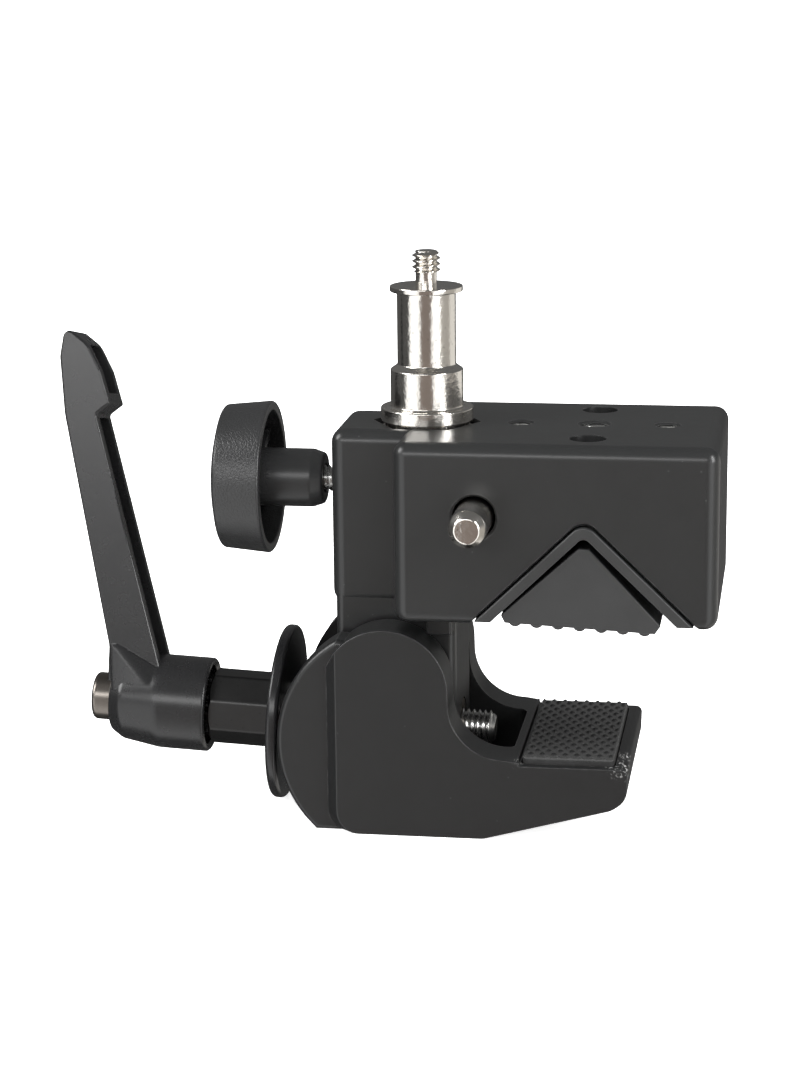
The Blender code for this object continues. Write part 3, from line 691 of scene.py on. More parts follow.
def make_body():
    block = box_solid(
        "body_casting",
        (BLOCK_LEFT, -BLOCK_HALF_DEPTH, TOP_Z - BLOCK_HEIGHT),
        (BLOCK_RIGHT, BLOCK_HALF_DEPTH, TOP_Z),
    )
    softened(block, EDGE_ROUND, 7)
    neck = box_solid("neck", (NECK_LEFT, -NECK_HALF_DEPTH, TOP_Z - NECK_HEIGHT), (0, NECK_HALF_DEPTH, TOP_Z))
    softened(neck, EDGE_ROUND, 7)
    left_deg = math.degrees(math.acos((LEG_LEFT - PIVOT_X) / LEG_END_RADIUS))
    right_deg = math.degrees(math.acos((LEG_RIGHT - PIVOT_X) / LEG_END_RADIUS))
    leg_outline = [(LEG_RIGHT, 60.0), (LEG_LEFT, 60.0)]
    leg_outline += arc((PIVOT_X, PIVOT_Z), LEG_END_RADIUS, -left_deg, -right_deg, 24)
    leg = plate("leg", leg_outline, LEG_HALF_DEPTH)
    softened(leg, 1.8, 5, rims(LEG_HALF_DEPTH))
    bosses = []
    for side in (-1, 1):
        near, far = sorted((side * (LEG_HALF_DEPTH - 1.0), side * 15.8))
        boss = box_solid(f"boss_{side}", (1.5, near, 43.4), (7.2, far, 51.0))
        bosses.append(softened(boss, 0.6, 3))
    joined(block, neck, leg, *bosses)

    socket = hexagon("socket", SOCKET_HEX_FLATS, TOP_Z - SOCKET_DEPTH, TOP_Z + 1)
    socket_mouth = hexagon("socket_mouth", SOCKET_HEX_FLATS, TOP_Z - 0.5, TOP_Z + 0.5, SOCKET_HEX_FLATS + 1.2)
    pin_bore = turned(
        "pin_bore",
        [
            (0, -14.5),
            (PIN_BORE_RADIUS, -14.5),
            (PIN_BORE_RADIUS, BLOCK_HALF_DEPTH - 0.5),
            (PIN_BORE_RADIUS + 1.5, BLOCK_HALF_DEPTH + 1.0),
            (0, BLOCK_HALF_DEPTH + 1.0),
        ],
        64,
    )
    moved(pin_bore, Matrix.Translation((PIN_X, 0, PIN_Z)) @ Z_TO_Y @ Matrix.Scale(-1, 4, (0, 0, 1)))
    pin_bore.data.flip_normals()
    stem_bore = rod("stem_bore", 2.3, (PIN_X, 10, PIN_Z), (PIN_X, 30, PIN_Z))
    clip_bore = rod("clip_bore", 5.5, (PIN_X, 17, PIN_Z), (PIN_X, 30, PIN_Z))
    lock_bore = rod("lock_bore", 3.1, (-24, 0, KNOB_Z), (-6, 0, KNOB_Z))
    lock_chamfer = rod(
        "lock_chamfer", 4.3, (NECK_LEFT - 0.6, 0, KNOB_Z), (NECK_LEFT + 1.2, 0, KNOB_Z), end_radius=2.5
    )
    pivot_bore = rod("pivot_bore", PIVOT_PIN_RADIUS + 0.15, (PIVOT_X, -16, PIVOT_Z), (PIVOT_X, 16, PIVOT_Z))
    bush_bore = moved(rod("bush_bore", 6.5, (-30, 0, 0), (20, 0, 0), 64), SPINDLE)
    cut(
        block,
        flared_v_cutter(),
        socket,
        socket_mouth,
        pin_bore,
        stem_bore,
        clip_bore,
        lock_bore,
        lock_chamfer,
        pivot_bore,
        bush_bore,
    )
    drills = [drilled("camera_drill", 3.2, V_CENTRE_X, 0, 78.5, 0.5)]
    drills.append(rod("peg_hole", 3.2, (V_CENTRE_X, 0, 60), (V_CENTRE_X, 0, 77.5)))
    for i, x in enumerate(PLATE_HOLES_X):
        drills.append(drilled(f"plate_drill_{i}", 2.5, x, 0, TOP_Z - 9, 0.45))
    for i, y in enumerate((-RECESS_Y, RECESS_Y)):
        recess = turned(
            f"recess_{i}",
            [
                (0, TOP_Z + 1),
                (5.1, TOP_Z + 1),
                (3.95, TOP_Z - 0.15),
                (3.85, TOP_Z - RECESS_DEPTH),
                (0, TOP_Z - RECESS_DEPTH),
            ],
            64,
        )
        drills.append(moved(recess, Matrix.Translation((V_CENTRE_X, y, 0))))
    cut(block, *drills)
    finished(block, BODY_PAINT, "body", "upper_body")

    camera_thread = thread_sleeve("camera_thread", 3.19, 2.6, V_CENTRE_X, TOP_Z - 0.9, 79.0, CAMERA_PITCH)
    finished(camera_thread, ALUMINIUM, "body")
    for i, x in enumerate(PLATE_HOLES_X):
        sleeve = thread_sleeve(f"plate_thread_{i}", 2.49, 2.05, x, TOP_Z - 0.8, TOP_Z - 8.5, PLATE_PITCH)
        finished(sleeve, ALUMINIUM, "body")


def make_liner():
    end_z = TOP_Z - BLOCK_HEIGHT + 1.0
    outer = v_outline(LINER_GAP, end_z, V_APEX_RADIUS - LINER_GAP)
    lining = plate("v_lining", outer, LINER_HALF_DEPTH)
    inner = plate("lining_cutter", v_outline(LINER_THICKNESS, end_z - 2, 1.5), LINER_HALF_DEPTH + 2)
    peg_hole = rod("lining_hole", 3.2, (V_CENTRE_X, 0, 60), (V_CENTRE_X, 0, 80))
    cut(lining, inner)
    softened(lining, 0.35, 3, rims(LINER_HALF_DEPTH))
    cut(lining, peg_hole)
    finished(lining, LINER_PLASTIC, "body", "v_liner")


def make_stud():
    """The spigot: a hexagonal foot with a turned waist, a collar, a locking groove and a thread."""
    foot = hexagon("spigot", STUD_HEX_FLATS, TOP_Z - SOCKET_DEPTH + 2.0, TOP_Z - 0.8)
    softened(foot, 0.5, 3)
    waist = turned(
        "waist_cutter",
        [
            (14, WAIST_TOP),
            (14, WAIST_BOTTOM),
            (WAIST_RADIUS, WAIST_BOTTOM + 0.8),
            (WAIST_RADIUS, WAIST_TOP - 0.8),
        ],
        hollow=True,
    )
    foot_z = TOP_Z + 0.3
    thread_top = STUD_TOP - 0.45
    profile = [(0, thread_top + 0.05), (2.1, thread_top + 0.05)]
    profile += thread_rings(3.1, 2.3, thread_top, foot_z + 32.7, CAMERA_PITCH, top_chamfer=0.8)
    profile += rounded(
        [
            (2.35, foot_z + 32.5),
            (2.35, foot_z + 29.63),
            (STUD_RADIUS, foot_z + 29.63, 0.22),
            (STUD_RADIUS, foot_z + 28.4, 0.22),
            (6.46, foot_z + 28.4, 0.35),
            (6.46, foot_z + 12.4, 0.4),
            (7.4, foot_z + 11.7, 0.3),
            (STUD_RADIUS, foot_z + 11.3, 0.35),
            (STUD_RADIUS, foot_z + 3.06, 0.4),
            (10.2, foot_z + 3.06, 0.35),
            (10.2, foot_z, 0.3),
            (9.3, foot_z),
            (9.3, TOP_Z - 1.5),
            (0, TOP_Z - 1.5),
        ],
        5,
    )
    shaft = turned("spigot_shaft", profile, 128)
    cut(foot, waist)
    joined(foot, shaft)
    finished(foot, NICKEL, "body", "stud")


# The lower jaw.


def jaw_outline(left):
    """The jaw's side panel, up to its left edge."""
    left_deg = math.degrees(math.acos((left - PIVOT_X) / EAR_RADIUS))
    panel = arc((PIVOT_X, PIVOT_Z), EAR_RADIUS, left_deg, 0.0, 40)
    panel += arc((THROAT_X, THROAT_Z), THROAT_RADIUS, 180.0, 270.0, 20)
    panel += rounded(
        [
            (22.6, TOP_Z - 69.8, 0.3),
            (22.6, SEAT_Z, 0.3),
            (46.4, SEAT_Z, 1.4),
            (46.2, 10.0, 4.5),
            (43.0, 7.6, 6.0),
            (14.9, 0.0, 6.0),
            (0.0, 0.0),
        ]
    )
    return panel + fillet((left, 0.0), (0.0, 0.0), (left, 20.0), 5.0, 10)


def on_pocket_wall(a, b):
    off_wall = max(abs(abs(end.y) - JAW_POCKET_HALF_DEPTH) for end in (a, b))
    return off_wall < 0.02 and min(a.z, b.z) > JAW_FLOOR + 0.5


def make_jaw():
    sections = []
    for y, left in (
        (-JAW_HALF_DEPTH, PANEL_LEFT),
        (-CAM_HALF_DEPTH, PANEL_LEFT - 2.2),
        (CAM_HALF_DEPTH, PANEL_LEFT - 2.2),
        (JAW_HALF_DEPTH, PANEL_LEFT),
    ):
        sections.append([(x, y, z) for x, z in jaw_outline(left)])
    jaw = loft("jaw_casting", sections)
    softened(jaw, 1.2, 5, rims(JAW_HALF_DEPTH), 0.5)
    foot_x = CAM_X - math.sqrt(CAM_RADIUS**2 - CAM_Z**2)
    cam = arc((CAM_X, CAM_Z), CAM_RADIUS, 120.0, 220.0, 48)
    cam += [(foot_x, 0.0), (2.0, 0.0), (2.0, 40.0)]
    cheeks = plate("cam_cheeks", cam, CAM_HALF_DEPTH)
    softened(cheeks, 1.2, 4, rims(CAM_HALF_DEPTH), 0.5)
    joined(jaw, cheeks)
    pocket = plate(
        "jaw_pocket",
        [(-40, JAW_FLOOR), (-40, 60), (20.8, 60), (20.8, 12.0), (17.0, 5.5), (12.0, JAW_FLOOR)],
        JAW_POCKET_HALF_DEPTH,
    )
    softened(pocket, 2.0, 5, lambda a, b: a.x > 15 and b.x > 15 and abs(a.y - b.y) < 0.01 and a.x + b.x > 41)
    pad_pocket = upright(
        "pad_pocket",
        rounded(
            [
                (PAD_LEFT - 0.3, -PAD_HALF_DEPTH - 0.3, 1.3),
                (PAD_RIGHT + 0.3, -PAD_HALF_DEPTH - 0.3, 1.3),
                (PAD_RIGHT + 0.3, PAD_HALF_DEPTH + 0.3, 1.3),
                (PAD_LEFT - 0.3, PAD_HALF_DEPTH + 0.3, 1.3),
            ]
        ),
        PAD_BOTTOM - 0.3,
        SEAT_Z + 10,
    )
    pin_hole = rod("pin_hole", PIVOT_PIN_RADIUS + 0.15, (PIVOT_X, -20.3, PIVOT_Z), (PIVOT_X, 30, PIVOT_Z))
    cut(jaw, pocket, pad_pocket, pin_hole)
    softened(jaw, 0.6, 3, on_pocket_wall)
    finished(jaw, JAW_PAINT, "lower_jaw", "lower_jaw")


def make_pad():
    """The rubber pad, its top a field of raised diamonds in staggered rows."""
    pitch_x, pitch_y, half_x, half_y, bump = 2.5, 2.42, 0.82, 1.3, 0.42
    field_z = PAD_TOP - bump + 0.1
    step = 0.2
    columns = round((PAD_RIGHT - PAD_LEFT) / step)
    rows = round(2 * PAD_HALF_DEPTH / step)
    corner = 1.3

    def height(x, y):
        row = round(y / pitch_y)
        best = 0.0
        for near in (row - 1, row, row + 1):
            shift = (near % 2) * pitch_x / 2
            across = (x - shift + pitch_x / 2) % pitch_x - pitch_x / 2
            away = abs(y - near * pitch_y)
            best = max(best, 1.0 - abs(across) / half_x - away / half_y)
        return field_z + bump * min(1.0, best * 2.2)

    bm = bmesh.new()
    top, base = [], []
    centre_x = (PAD_LEFT + PAD_RIGHT) / 2
    half_width = (PAD_RIGHT - PAD_LEFT) / 2
    for i in range(columns + 1):
        top_line, base_line = [], []
        for j in range(rows + 1):
            x = PAD_LEFT + step * i
            y = -PAD_HALF_DEPTH + step * j
            over_x = abs(x - centre_x) - (half_width - corner)
            over_y = abs(y) - (PAD_HALF_DEPTH - corner)
            if over_x > 0 and over_y > 0:
                reach = max(over_x, over_y)
                scale = reach / math.hypot(over_x, over_y)
                x = centre_x + math.copysign(half_width - corner + over_x * scale, x - centre_x)
                y = math.copysign(PAD_HALF_DEPTH - corner + over_y * scale, y)
            edge = min(half_width - abs(x - centre_x), PAD_HALF_DEPTH - abs(y))
            z = height(x, y) if edge > 0.5 else field_z + 0.05 - max(0.0, 0.3 - edge)
            top_line.append(bm.verts.new((x, y, z)))
            outer = i in (0, columns) or j in (0, rows)
            base_line.append(bm.verts.new((x, y, PAD_BOTTOM)) if outer else None)
        top.append(top_line)
        base.append(base_line)
    for i in range(columns):
        for j in range(rows):
            bm.faces.new((top[i][j], top[i + 1][j], top[i + 1][j + 1], top[i][j + 1]))
    around = [(i, 0) for i in range(columns)] + [(columns, j) for j in range(rows)]
    around += [(i, rows) for i in range(columns, 0, -1)] + [(0, j) for j in range(rows, 0, -1)]
    for (i, j), (k, m) in zip(around, around[1:] + around[:1]):
        bm.faces.new((base[i][j], base[k][m], top[k][m], top[i][j]))
    bm.faces.new([base[i][j] for i, j in reversed(around)])
    pad = new_object("diamond_pad", bm)
    finished(pad, PAD_RUBBER, "lower_jaw", "jaw_pad", 40.0)


def make_pivot_pin():
    pin = turned(
        "pivot_rod",
        rounded([(0, 24.0), (3.0, 24.0, 0.6), (3.0, -20.0, 0.5), (0, -20.0)]),
        64,
    )
    moved(pin, Matrix.Translation((PIVOT_X, 0, PIVOT_Z)) @ Z_TO_Y)
    finished(pin, BRIGHT_STEEL, "lower_jaw", "pivot_pin")


# The screw, its pressure disc and the indexing lever, along the X axis of the spindle's own frame.


def make_disc():
    disc = turned(
        "pressure_plate",
        rounded(
            [
                (4.2, DISC_RIGHT, 0.3),
                (DISC_RADIUS, DISC_RIGHT, 0.9),
                (DISC_RADIUS, DISC_LEFT, 0.9),
                (4.2, DISC_LEFT, 0.3),
            ]
        ),
        128,
        hollow=True,
    )
    moved(disc, SPINDLE @ Z_TO_X)
    finished(disc, DISC_PAINT, "pressure_disc", "pressure_disc")


def make_spindle():
    profile = [(0, SCREW_END), (2.6, SCREW_END)]
    profile += thread_rings(SCREW_RADIUS, 3.2, SCREW_END - 0.05, -34.0, CLOSING_PITCH, top_chamfer=1.2)
    profile += [(3.2, -34.4), (3.2, -50.0), (0, -50.0)]
    screw = turned("closing_screw", profile, 64)
    moved(screw, SPINDLE @ Z_TO_X)
    finished(screw, BRIGHT_STEEL, "spindle", "spindle_screw")


def splined(name, root, tip, start, end):
    """A rod along Z with the splines that index the lever."""
    outline = []
    for tooth in range(SPLINE_COUNT):
        for radius, share in ((root, -0.42), (tip, -0.18), (tip, 0.18), (root, 0.42)):
            angle = 2 * math.pi * (tooth + share) / SPLINE_COUNT
            outline.append((radius * math.cos(angle), radius * math.sin(angle)))
    return upright(name, outline, start, end)


def make_sleeve():
    """The octagonal sleeve on the screw, chamfered where its corners end and splined inside the hub."""
    corner = SLEEVE_FLATS / 2 / math.cos(math.pi / 8)
    start, end = HUB_RIGHT + 0.3, SLEEVE_RIGHT
    sleeve = upright("octagon_sleeve", arc((0, 0), corner, 22.5, 337.5, 7), start, end)
    softened(sleeve, 0.5, 3, lambda a, b: abs(a.z - b.z) > 1.0)
    round_corner = turned(
        "sleeve_lathe",
        [
            (12, end + 1),
            (12, start - 1),
            (SLEEVE_FLATS / 2 - 0.3, start - 1),
            (SLEEVE_FLATS / 2 - 0.3, start),
            (corner + 0.1, start + 0.9),
            (corner + 0.1, end - 0.9),
            (SLEEVE_FLATS / 2 - 0.3, end),
            (SLEEVE_FLATS / 2 - 0.3, end + 1),
        ],
        96,
        hollow=True,
    )
    cut(sleeve, round_corner)
    joined(sleeve, splined("sleeve_splines", 6.6, 7.2, SLEEVE_LEFT, start + 0.7))
    bore = rod("sleeve_bore", SCREW_RADIUS + 0.3, (0, 0, -50.3), (0, 0, -30))
    tap = rod("sleeve_tap", 2.5, (0, 0, -60), (0, 0, -45))
    cut(sleeve, bore, tap)
    moved(sleeve, SPINDLE @ Z_TO_X)
    finished(sleeve, BLACKED_STEEL, "spindle", "spindle_sleeve")


def lever_edge(distance):
    """Where the arm's right edge lies, at this distance from the screw's axis."""
    return -60.0 - (distance - 4.0) * 19.9 / 60.2


def make_lever():
    outline = rounded(
        [
            (-60.0, 4.0),
            (-79.9, 64.2, 1.0),
            (-76.9, 66.8, 0.6),
            (-79.6, 74.2, 3.0),
            (-83.0, 80.0, 6.0),
            (-88.6, 83.9, 1.5),
            (-89.3, 76.8, 5.0),
            (-87.3, 63.7, 20.0),
            (-73.5, 12.0, 5.0),
            (-73.3, 4.0),
        ],
        8,
    )
    arm = plate("lever_arm", outline, LEVER_HALF_THICKNESS)
    softened(arm, 1.5, 5, rims(LEVER_HALF_THICKNESS), 0.5)
    depth, reach, half_gap = 4.2, 4.0, LEVER_HALF_THICKNESS - 2.3
    lower_channel = plate(
        "lower_channel",
        rounded(
            [
                (lever_edge(8.5) + reach, 8.5),
                (lever_edge(63.5) + reach, 63.5),
                (lever_edge(63.5) - depth, 63.5, 1.5),
                (lever_edge(8.5) - depth, 8.5, 2.5),
            ]
        ),
        half_gap,
    )
    upper_channel = plate(
        "upper_channel",
        rounded([(-73.0, 69.2), (-78.0, 82.0), (-85.6, 78.8, 1.5), (-81.6, 69.2, 1.2)]),
        half_gap,
    )
    cut(arm, lower_channel, upper_channel)
    gussets = []
    for side in (-1, 1):
        facets = [
            (-73.9, side * 6.7, 14.5),
            (-60.9, side * 6.7, 8.0),
            (-72.4, side * 8.0, 3.0),
            (-62.0, side * 10.0, 3.0),
        ]
        facets += [(x, side * 4.0, z) for x, _, z in facets]
        facets += [(-71.8, side * 7.0, -1.0), (-61.0, side * 9.0, -1.0)]
        gussets.append(softened(hull(f"gusset_{side}", facets), 1.2, 5))
    joined(arm, *gussets)
    moved(arm, Matrix.Rotation(math.radians(-LEVER_LEAN_DEG), 4, "X"))
    hub = turned(
        "indexing_lever",
        rounded(
            [
                (0, HUB_RIGHT),
                (HUB_RADIUS, HUB_RIGHT, 0.8),
                (HUB_RADIUS, -61.4, 12.0),
                (9.3, -69.8, 3.0),
                (7.4, HUB_LEFT, 1.4),
                (0, HUB_LEFT),
            ],
            10,
        ),
        128,
    )
    moved(hub, Z_TO_X)
    joined(hub, arm)
    core = rod("hub_core", 5.8, (-63.0, 0, 0), (-80, 0, 0), 64)
    screw_way = rod("hub_screw_way", 2.7, (-66, 0, 0), (-56, 0, 0))
    broach = moved(splined("hub_broach", 6.9, 7.6, -57.5, -52.0), Z_TO_X)
    mouth = rod("hub_mouth", 9.1, (-53.4, 0, 0), (-45, 0, 0), 64)
    mouth_flare = rod("hub_mouth_flare", 9.1, (-50.6, 0, 0), (-49.0, 0, 0), 64, end_radius=10.7)
    cut(hub, core, screw_way, broach, mouth, mouth_flare)
    moved(hub, SPINDLE)
    finished(hub, LEVER_PAINT, "lever", "lever")


def make_lever_screw():
    head = HUB_LEFT + 0.2
    profile = [(0, -51.0), (2.0, -51.0), (2.0, -58.4)]
    profile += thread_rings(2.4, 1.95, -58.5, -63.0, HUB_PITCH, top_chamfer=0.3)
    profile += rounded(
        [
            (2.4, -63.2),
            (2.4, head),
            (5.4, head, 0.2),
            (5.4, SCREW_HEAD_END, 1.0),
            (0, SCREW_HEAD_END),
        ]
    )
    screw = turned("hub_screw", profile, 64)
    key = hexagon("hub_screw_key", 4.0, SCREW_HEAD_END - 1.0, SCREW_HEAD_END + 2.3)
    cut(screw, key)
    moved(screw, SPINDLE @ Z_TO_X)
    finished(screw, DARK_STEEL, "spindle", "lever_screw")


def coil(radius, start, end, turns):
    """Points along a coil of even pitch round the X axis."""
    points = []
    points_a_turn = 24
    count = turns * points_a_turn
    for i in range(count + 1):
        angle = 2 * math.pi * i / points_a_turn
        points.append((start + (end - start) * i / count, radius * math.cos(angle), radius * math.sin(angle)))
    return points


def make_lever_spring():
    spring = tube("hub_spring", coil(4.2, -71.8, -65.0, 5), 0.38)
    moved(spring, SPINDLE)
    finished(spring, BRIGHT_STEEL, "spindle", "lever_spring")
    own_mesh(spring)


# The knob that locks the stud, and the safety pin.


def make_knob():
    boss_end = -22.8
    knob = turned(
        "locking_knob",
        rounded(
            [
                (0, -36.4),
                (3.3, -36.4),
                (3.3, boss_end, 0.3),
                (5.6, boss_end, 0.8),
                (6.5, -25.5, 2.0),
                (6.5, -43.0, 1.5),
                (14.6, -42.0, 2.0),
                (14.8, KNOB_RIM_X, 0.4),
                (KNOB_RADIUS, KNOB_RIM_X, 0.6),
                (16.0, -45.3, 0.9),
                (12.0, -46.4, 12.0),
                (7.0, -47.3, 20.0),
                (0, KNOB_END_X),
            ],
            8,
        ),
        128,
    )
    ribs = []
    for i in range(3):
        rib = box_solid(f"knob_rib_{i}", (-0.8, -15.2, -44.0), (0.8, 15.2, -38.0))
        ribs.append(moved(rib, Matrix.Rotation(math.radians(60 * i + 90), 4, "Z")))
    joined(knob, *ribs)
    moved(knob, KNOB_AXIS)
    finished(knob, KNOB_PLASTIC, "lock_knob", "lock_knob")


def make_lock_screw():
    profile = [(0, -15.4), (1.4, -15.4), (1.4, -12.4), (2.0, -12.4)]
    profile += thread_rings(2.9, 2.4, -12.45, -36.0, LOCK_PITCH, top_chamfer=0.7)
    profile += [(0, -36.1)]
    screw = turned("locking_screw", profile, 64)
    moved(screw, KNOB_AXIS)
    finished(screw, BRIGHT_STEEL, "lock_knob", "lock_screw")


def make_safety_pin():
    pin = turned(
        "push_pin",
        rounded(
            [
                (0, 20.5),
                (1.9, 20.5, 0.4),
                (1.9, 18.4),
                (1.4, 18.4),
                (1.4, 17.2),
                (1.9, 17.2),
                (1.9, 3.5),
                (PIN_RADIUS, 3.5, 0.3),
                (PIN_RADIUS, -3.1, 0.3),
                (2.2, -3.1),
                (2.2, -9.9),
                (PIN_RADIUS, -9.9, 0.3),
                (PIN_RADIUS, -36.9, 1.5),
                (2.7, PIN_END_Y, 0.7),
                (0, PIN_END_Y),
            ]
        ),
        96,
    )
    moved(pin, PIN_AXIS)
    finished(pin, NICKEL, "safety_pin", "safety_pin")


def make_safety_spring():
    spring = tube("push_pin_spring", coil(3.1, 4.5, 13.5, 5), 0.33)
    place = Matrix.Translation((PIN_X, 0, PIN_Z)) @ Matrix.Rotation(math.radians(90), 4, "Z")
    moved(spring, place)
    finished(spring, BRIGHT_STEEL, "body", "safety_spring")
    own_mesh(spring)


# The wedge that fills the V for flat rails.


def make_wedge():
    outline = rounded(
        [
            (-16.0, 0, 0.4),
            (-17.0, 1.7, 0.5),
            (-1.2, 17.5, 0.8),
            (1.2, 17.5, 0.8),
            (17.2, 1.9, 0.5),
            (16.0, 0, 0.4),
        ],
        4,
    )
    wedge = plate("v_wedge", outline, WEDGE_HALF_DEPTH)
    softened(wedge, 0.5, 3, rims(WEDGE_HALF_DEPTH), 0.5)
    ribs = []
    for i in range(RIB_COUNT):
        x = RIB_PITCH * (i - (RIB_COUNT - 1) / 2)
        end = WEDGE_HALF_DEPTH - 0.2
        z = RIB_RADIUS - RIB_PROUD
        ribs.append(rod(f"wedge_rib_{i}", RIB_RADIUS, (x, -end, z), (x, end, z), 32))
    peg = turned(
        "wedge_peg", rounded([(0, 28.0), (2.2, 28.0, 0.5), (2.2, 16.0), (0, 16.0)]), 48
    )
    joined(wedge, peg, *ribs)
    moved(wedge, WEDGE)
    finished(wedge, WEDGE_PLASTIC, "wedge", "wedge")


def dress_carried_nodes():
    """The small CAD parts that stay as they are get their own procedural finish."""
    finishes = {
        "spindle_bush": DARK_STEEL,
        "pivot_washer_near": NYLON,
        "pivot_washer_far": NYLON,
        "thrust_washer": BRASS,
        "disc_clip": BRIGHT_STEEL,
        "spring_seat": DARK_STEEL,
        "lock_tip": BRASS,
        "safety_clip": DARK_STEEL,
    }
    for node, mat in finishes.items():
        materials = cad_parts[node].data.materials
        materials.clear()
        materials.append(mat)


# The studio.

CAMERA_AZIMUTH_DEG, CAMERA_ELEVATION_DEG, CAMERA_ROLL_DEG = 8.734, 13.546, -0.581
CAMERA_DISTANCE = 0.612987
CAMERA_TARGET = Vector((-0.006348, 0.0, 0.059545))
CAMERA_LENS = 90.87

OVERHEAD_STRENGTH, OVERHEAD_SPREAD_DEG = 5.2, 120
FLOOR_GLOW = 0.8
CEILING = (0.14, 0.14, 0.14, 1.0)
CEILING_START = 0.25


# Name, azimuth and elevation from the camera's side, distance, width, height and power.
SOFT_BOXES = [
    ("front_box", -22, 20, 1.2, 0.9, 0.25, 4.0),
    ("left_box", -75, 35, 1.2, 0.5, 0.7, 10.0),
    ("right_box", 50, 20, 1.2, 0.3, 0.8, 11.0),
]


def toward(azimuth_deg, elevation_deg):
    """The direction from the object to a place round it. Azimuth 0 is at -Y."""
    azimuth, elevation = math.radians(azimuth_deg), math.radians(elevation_deg)
    level = math.cos(elevation)
    return Vector((math.sin(azimuth) * level, -math.cos(azimuth) * level, math.sin(elevation)))


def make_camera():
    azimuth = math.radians(CAMERA_AZIMUTH_DEG)
    back = toward(CAMERA_AZIMUTH_DEG, CAMERA_ELEVATION_DEG)
    right = Vector((math.cos(azimuth), math.sin(azimuth), 0))
    up = back.cross(right)
    roll = math.radians(CAMERA_ROLL_DEG)
    rolled_right = right * math.cos(roll) + up * math.sin(roll)
    rolled_up = up * math.cos(roll) - right * math.sin(roll)
    data = bpy.data.cameras.new("photo_camera")
    data.lens = CAMERA_LENS
    data.clip_start = 0.01
    data.clip_end = 100.0
    camera = bpy.data.objects.new("photo_camera", data)
    bpy.context.scene.collection.objects.link(camera)
    turn = Matrix((rolled_right, rolled_up, back)).transposed().to_4x4()
    camera.matrix_world = Matrix.Translation(CAMERA_TARGET + back * CAMERA_DISTANCE) @ turn
    bpy.context.scene.camera = camera


def make_floor():
    """A pale floor that glows a little, so that it shows no shadow, as the photo shows none."""
    bm = bmesh.new()
    bmesh.ops.create_circle(bm, cap_ends=True, segments=96, radius=40.0)
    floor = new_object("floor", bm)
    surface = Surface("studio_floor", (0.93, 0.93, 0.93), 0.9, specular=0.1)
    colour_out, rough_out = varied(surface, 0.005, 2.0)
    surface.shader.inputs["Emission Color"].default_value = (1.0, 1.0, 1.0, 1.0)
    surface.shader.inputs["Emission Strength"].default_value = FLOOR_GLOW
    floor.data.materials.append(surface.done(colour_out, rough_out))
    floor.visible_glossy = False


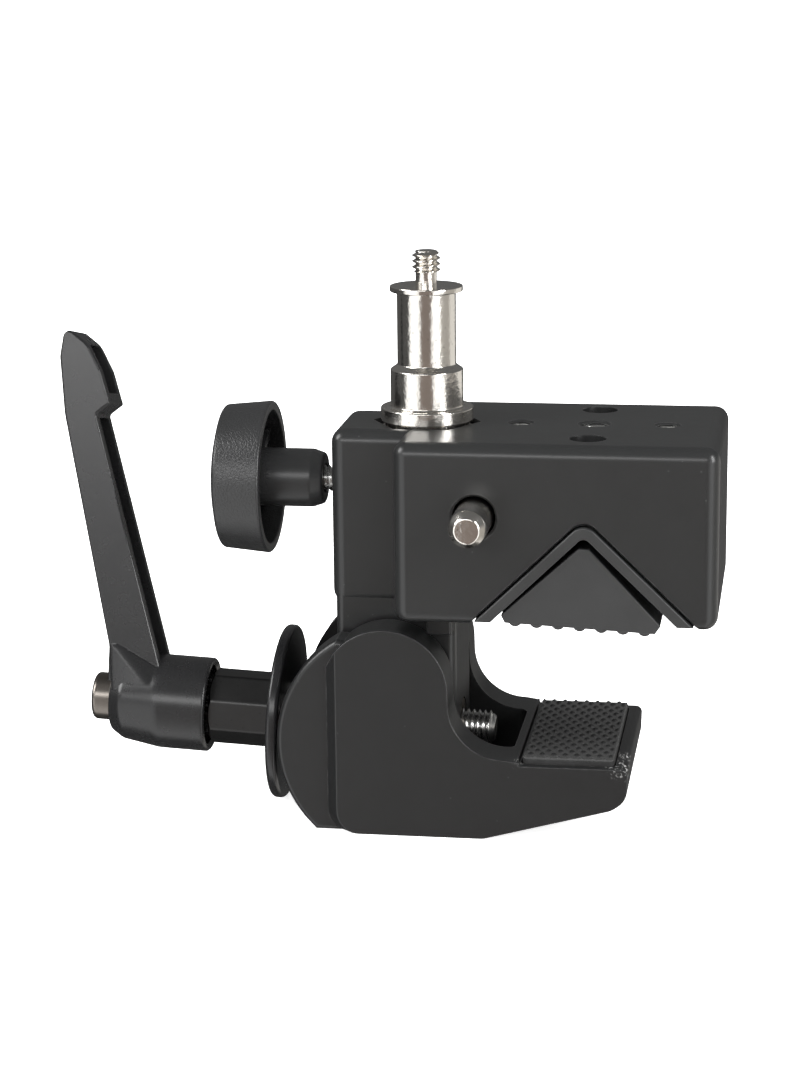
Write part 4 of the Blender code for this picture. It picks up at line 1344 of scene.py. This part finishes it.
def make_surround():
    """Soft panels all round: the bands that the plated stud mirrors, and a dim ceiling above them."""
    world = bpy.data.worlds.new("studio")
    bpy.context.scene.world = world
    world.use_nodes = True
    tree = world.node_tree
    background = tree.nodes["Background"]
    direction = tree.nodes.new("ShaderNodeTexCoord")
    turn = tree.nodes.new("ShaderNodeVectorRotate")
    turn.rotation_type = "Z_AXIS"
    turn.inputs["Angle"].default_value = -math.radians(CAMERA_AZIMUTH_DEG)
    split = tree.nodes.new("ShaderNodeSeparateXYZ")
    flipped = tree.nodes.new("ShaderNodeMath")
    flipped.operation = "MULTIPLY"
    flipped.inputs[1].default_value = -1.0
    around = tree.nodes.new("ShaderNodeMath")
    around.operation = "ARCTAN2"
    share = tree.nodes.new("ShaderNodeMapRange")
    share.inputs["From Min"].default_value = -math.pi
    share.inputs["From Max"].default_value = math.pi
    tree.links.new(direction.outputs["Generated"], turn.inputs["Vector"])
    tree.links.new(turn.outputs["Vector"], split.inputs["Vector"])
    tree.links.new(split.outputs["Y"], flipped.inputs[0])
    tree.links.new(split.outputs["X"], around.inputs[0])
    tree.links.new(flipped.outputs[0], around.inputs[1])
    tree.links.new(around.outputs[0], share.inputs["Value"])
    bands = tree.nodes.new("ShaderNodeValToRGB")
    dark, dim = (0.08, 0.08, 0.08), (0.24, 0.20, 0.18)
    soft_box, taupe, cream = (1.5, 1.5, 1.5), (0.45, 0.43, 0.40), (0.85, 0.83, 0.79)
    stops = []
    for start_deg, end_deg, colour in (
        (-180, -71, dark),
        (-71, -26, soft_box),
        (-26, 19, dim),
        (19, 54, soft_box),
        (54, 101, taupe),
        (101, 145, cream),
        (145, 180, dark),
    ):
        stops += [((start_deg + 182) / 360, colour), ((end_deg + 178) / 360, colour)]
    elements = bands.color_ramp.elements
    while len(elements) < len(stops):
        elements.new(0.5)
    for element, (position, colour) in zip(elements, stops):
        element.position = position
        element.color = (*colour, 1.0)
    tree.links.new(share.outputs["Result"], bands.inputs["Fac"])
    overhead = tree.nodes.new("ShaderNodeMapRange")
    overhead.inputs["From Min"].default_value = 0.0
    overhead.inputs["From Max"].default_value = CEILING_START
    tree.links.new(split.outputs["Z"], overhead.inputs["Value"])
    mix = tree.nodes.new("ShaderNodeMix")
    mix.data_type = "RGBA"
    tree.links.new(overhead.outputs["Result"], mix.inputs["Factor"])
    tree.links.new(bands.outputs["Color"], mix.inputs[6])
    mix.inputs[7].default_value = CEILING
    tree.links.new(mix.outputs[2], background.inputs["Color"])


def make_lights():
    """A broad overhead light that no gloss mirrors, and soft boxes that draw the highlights."""
    sun = bpy.data.lights.new("overhead", "SUN")
    sun.energy = OVERHEAD_STRENGTH
    sun.angle = math.radians(OVERHEAD_SPREAD_DEG)
    overhead = bpy.data.objects.new("overhead", sun)
    overhead.visible_glossy = False
    bpy.context.scene.collection.objects.link(overhead)
    for name, azimuth_deg, elevation_deg, distance, width, height, power in SOFT_BOXES:
        data = bpy.data.lights.new(name, "AREA")
        data.shape = "RECTANGLE"
        data.size = width
        data.size_y = height
        data.energy = power
        back = toward(CAMERA_AZIMUTH_DEG + azimuth_deg, elevation_deg)
        box = bpy.data.objects.new(name, data)
        box.location = CAMERA_TARGET + back * distance
        box.rotation_euler = back.to_track_quat("Z", "Y").to_euler()
        bpy.context.scene.collection.objects.link(box)


make_body()
make_liner()
make_stud()
make_jaw()
make_pad()
make_pivot_pin()
make_disc()
make_spindle()
make_sleeve()
make_lever()
make_lever_screw()
make_lever_spring()
make_knob()
make_lock_screw()
make_safety_pin()
make_safety_spring()
make_wedge()
dress_carried_nodes()
make_camera()
make_floor()
make_surround()
make_lights()
bpy.context.scene.view_settings.view_transform = "Standard"
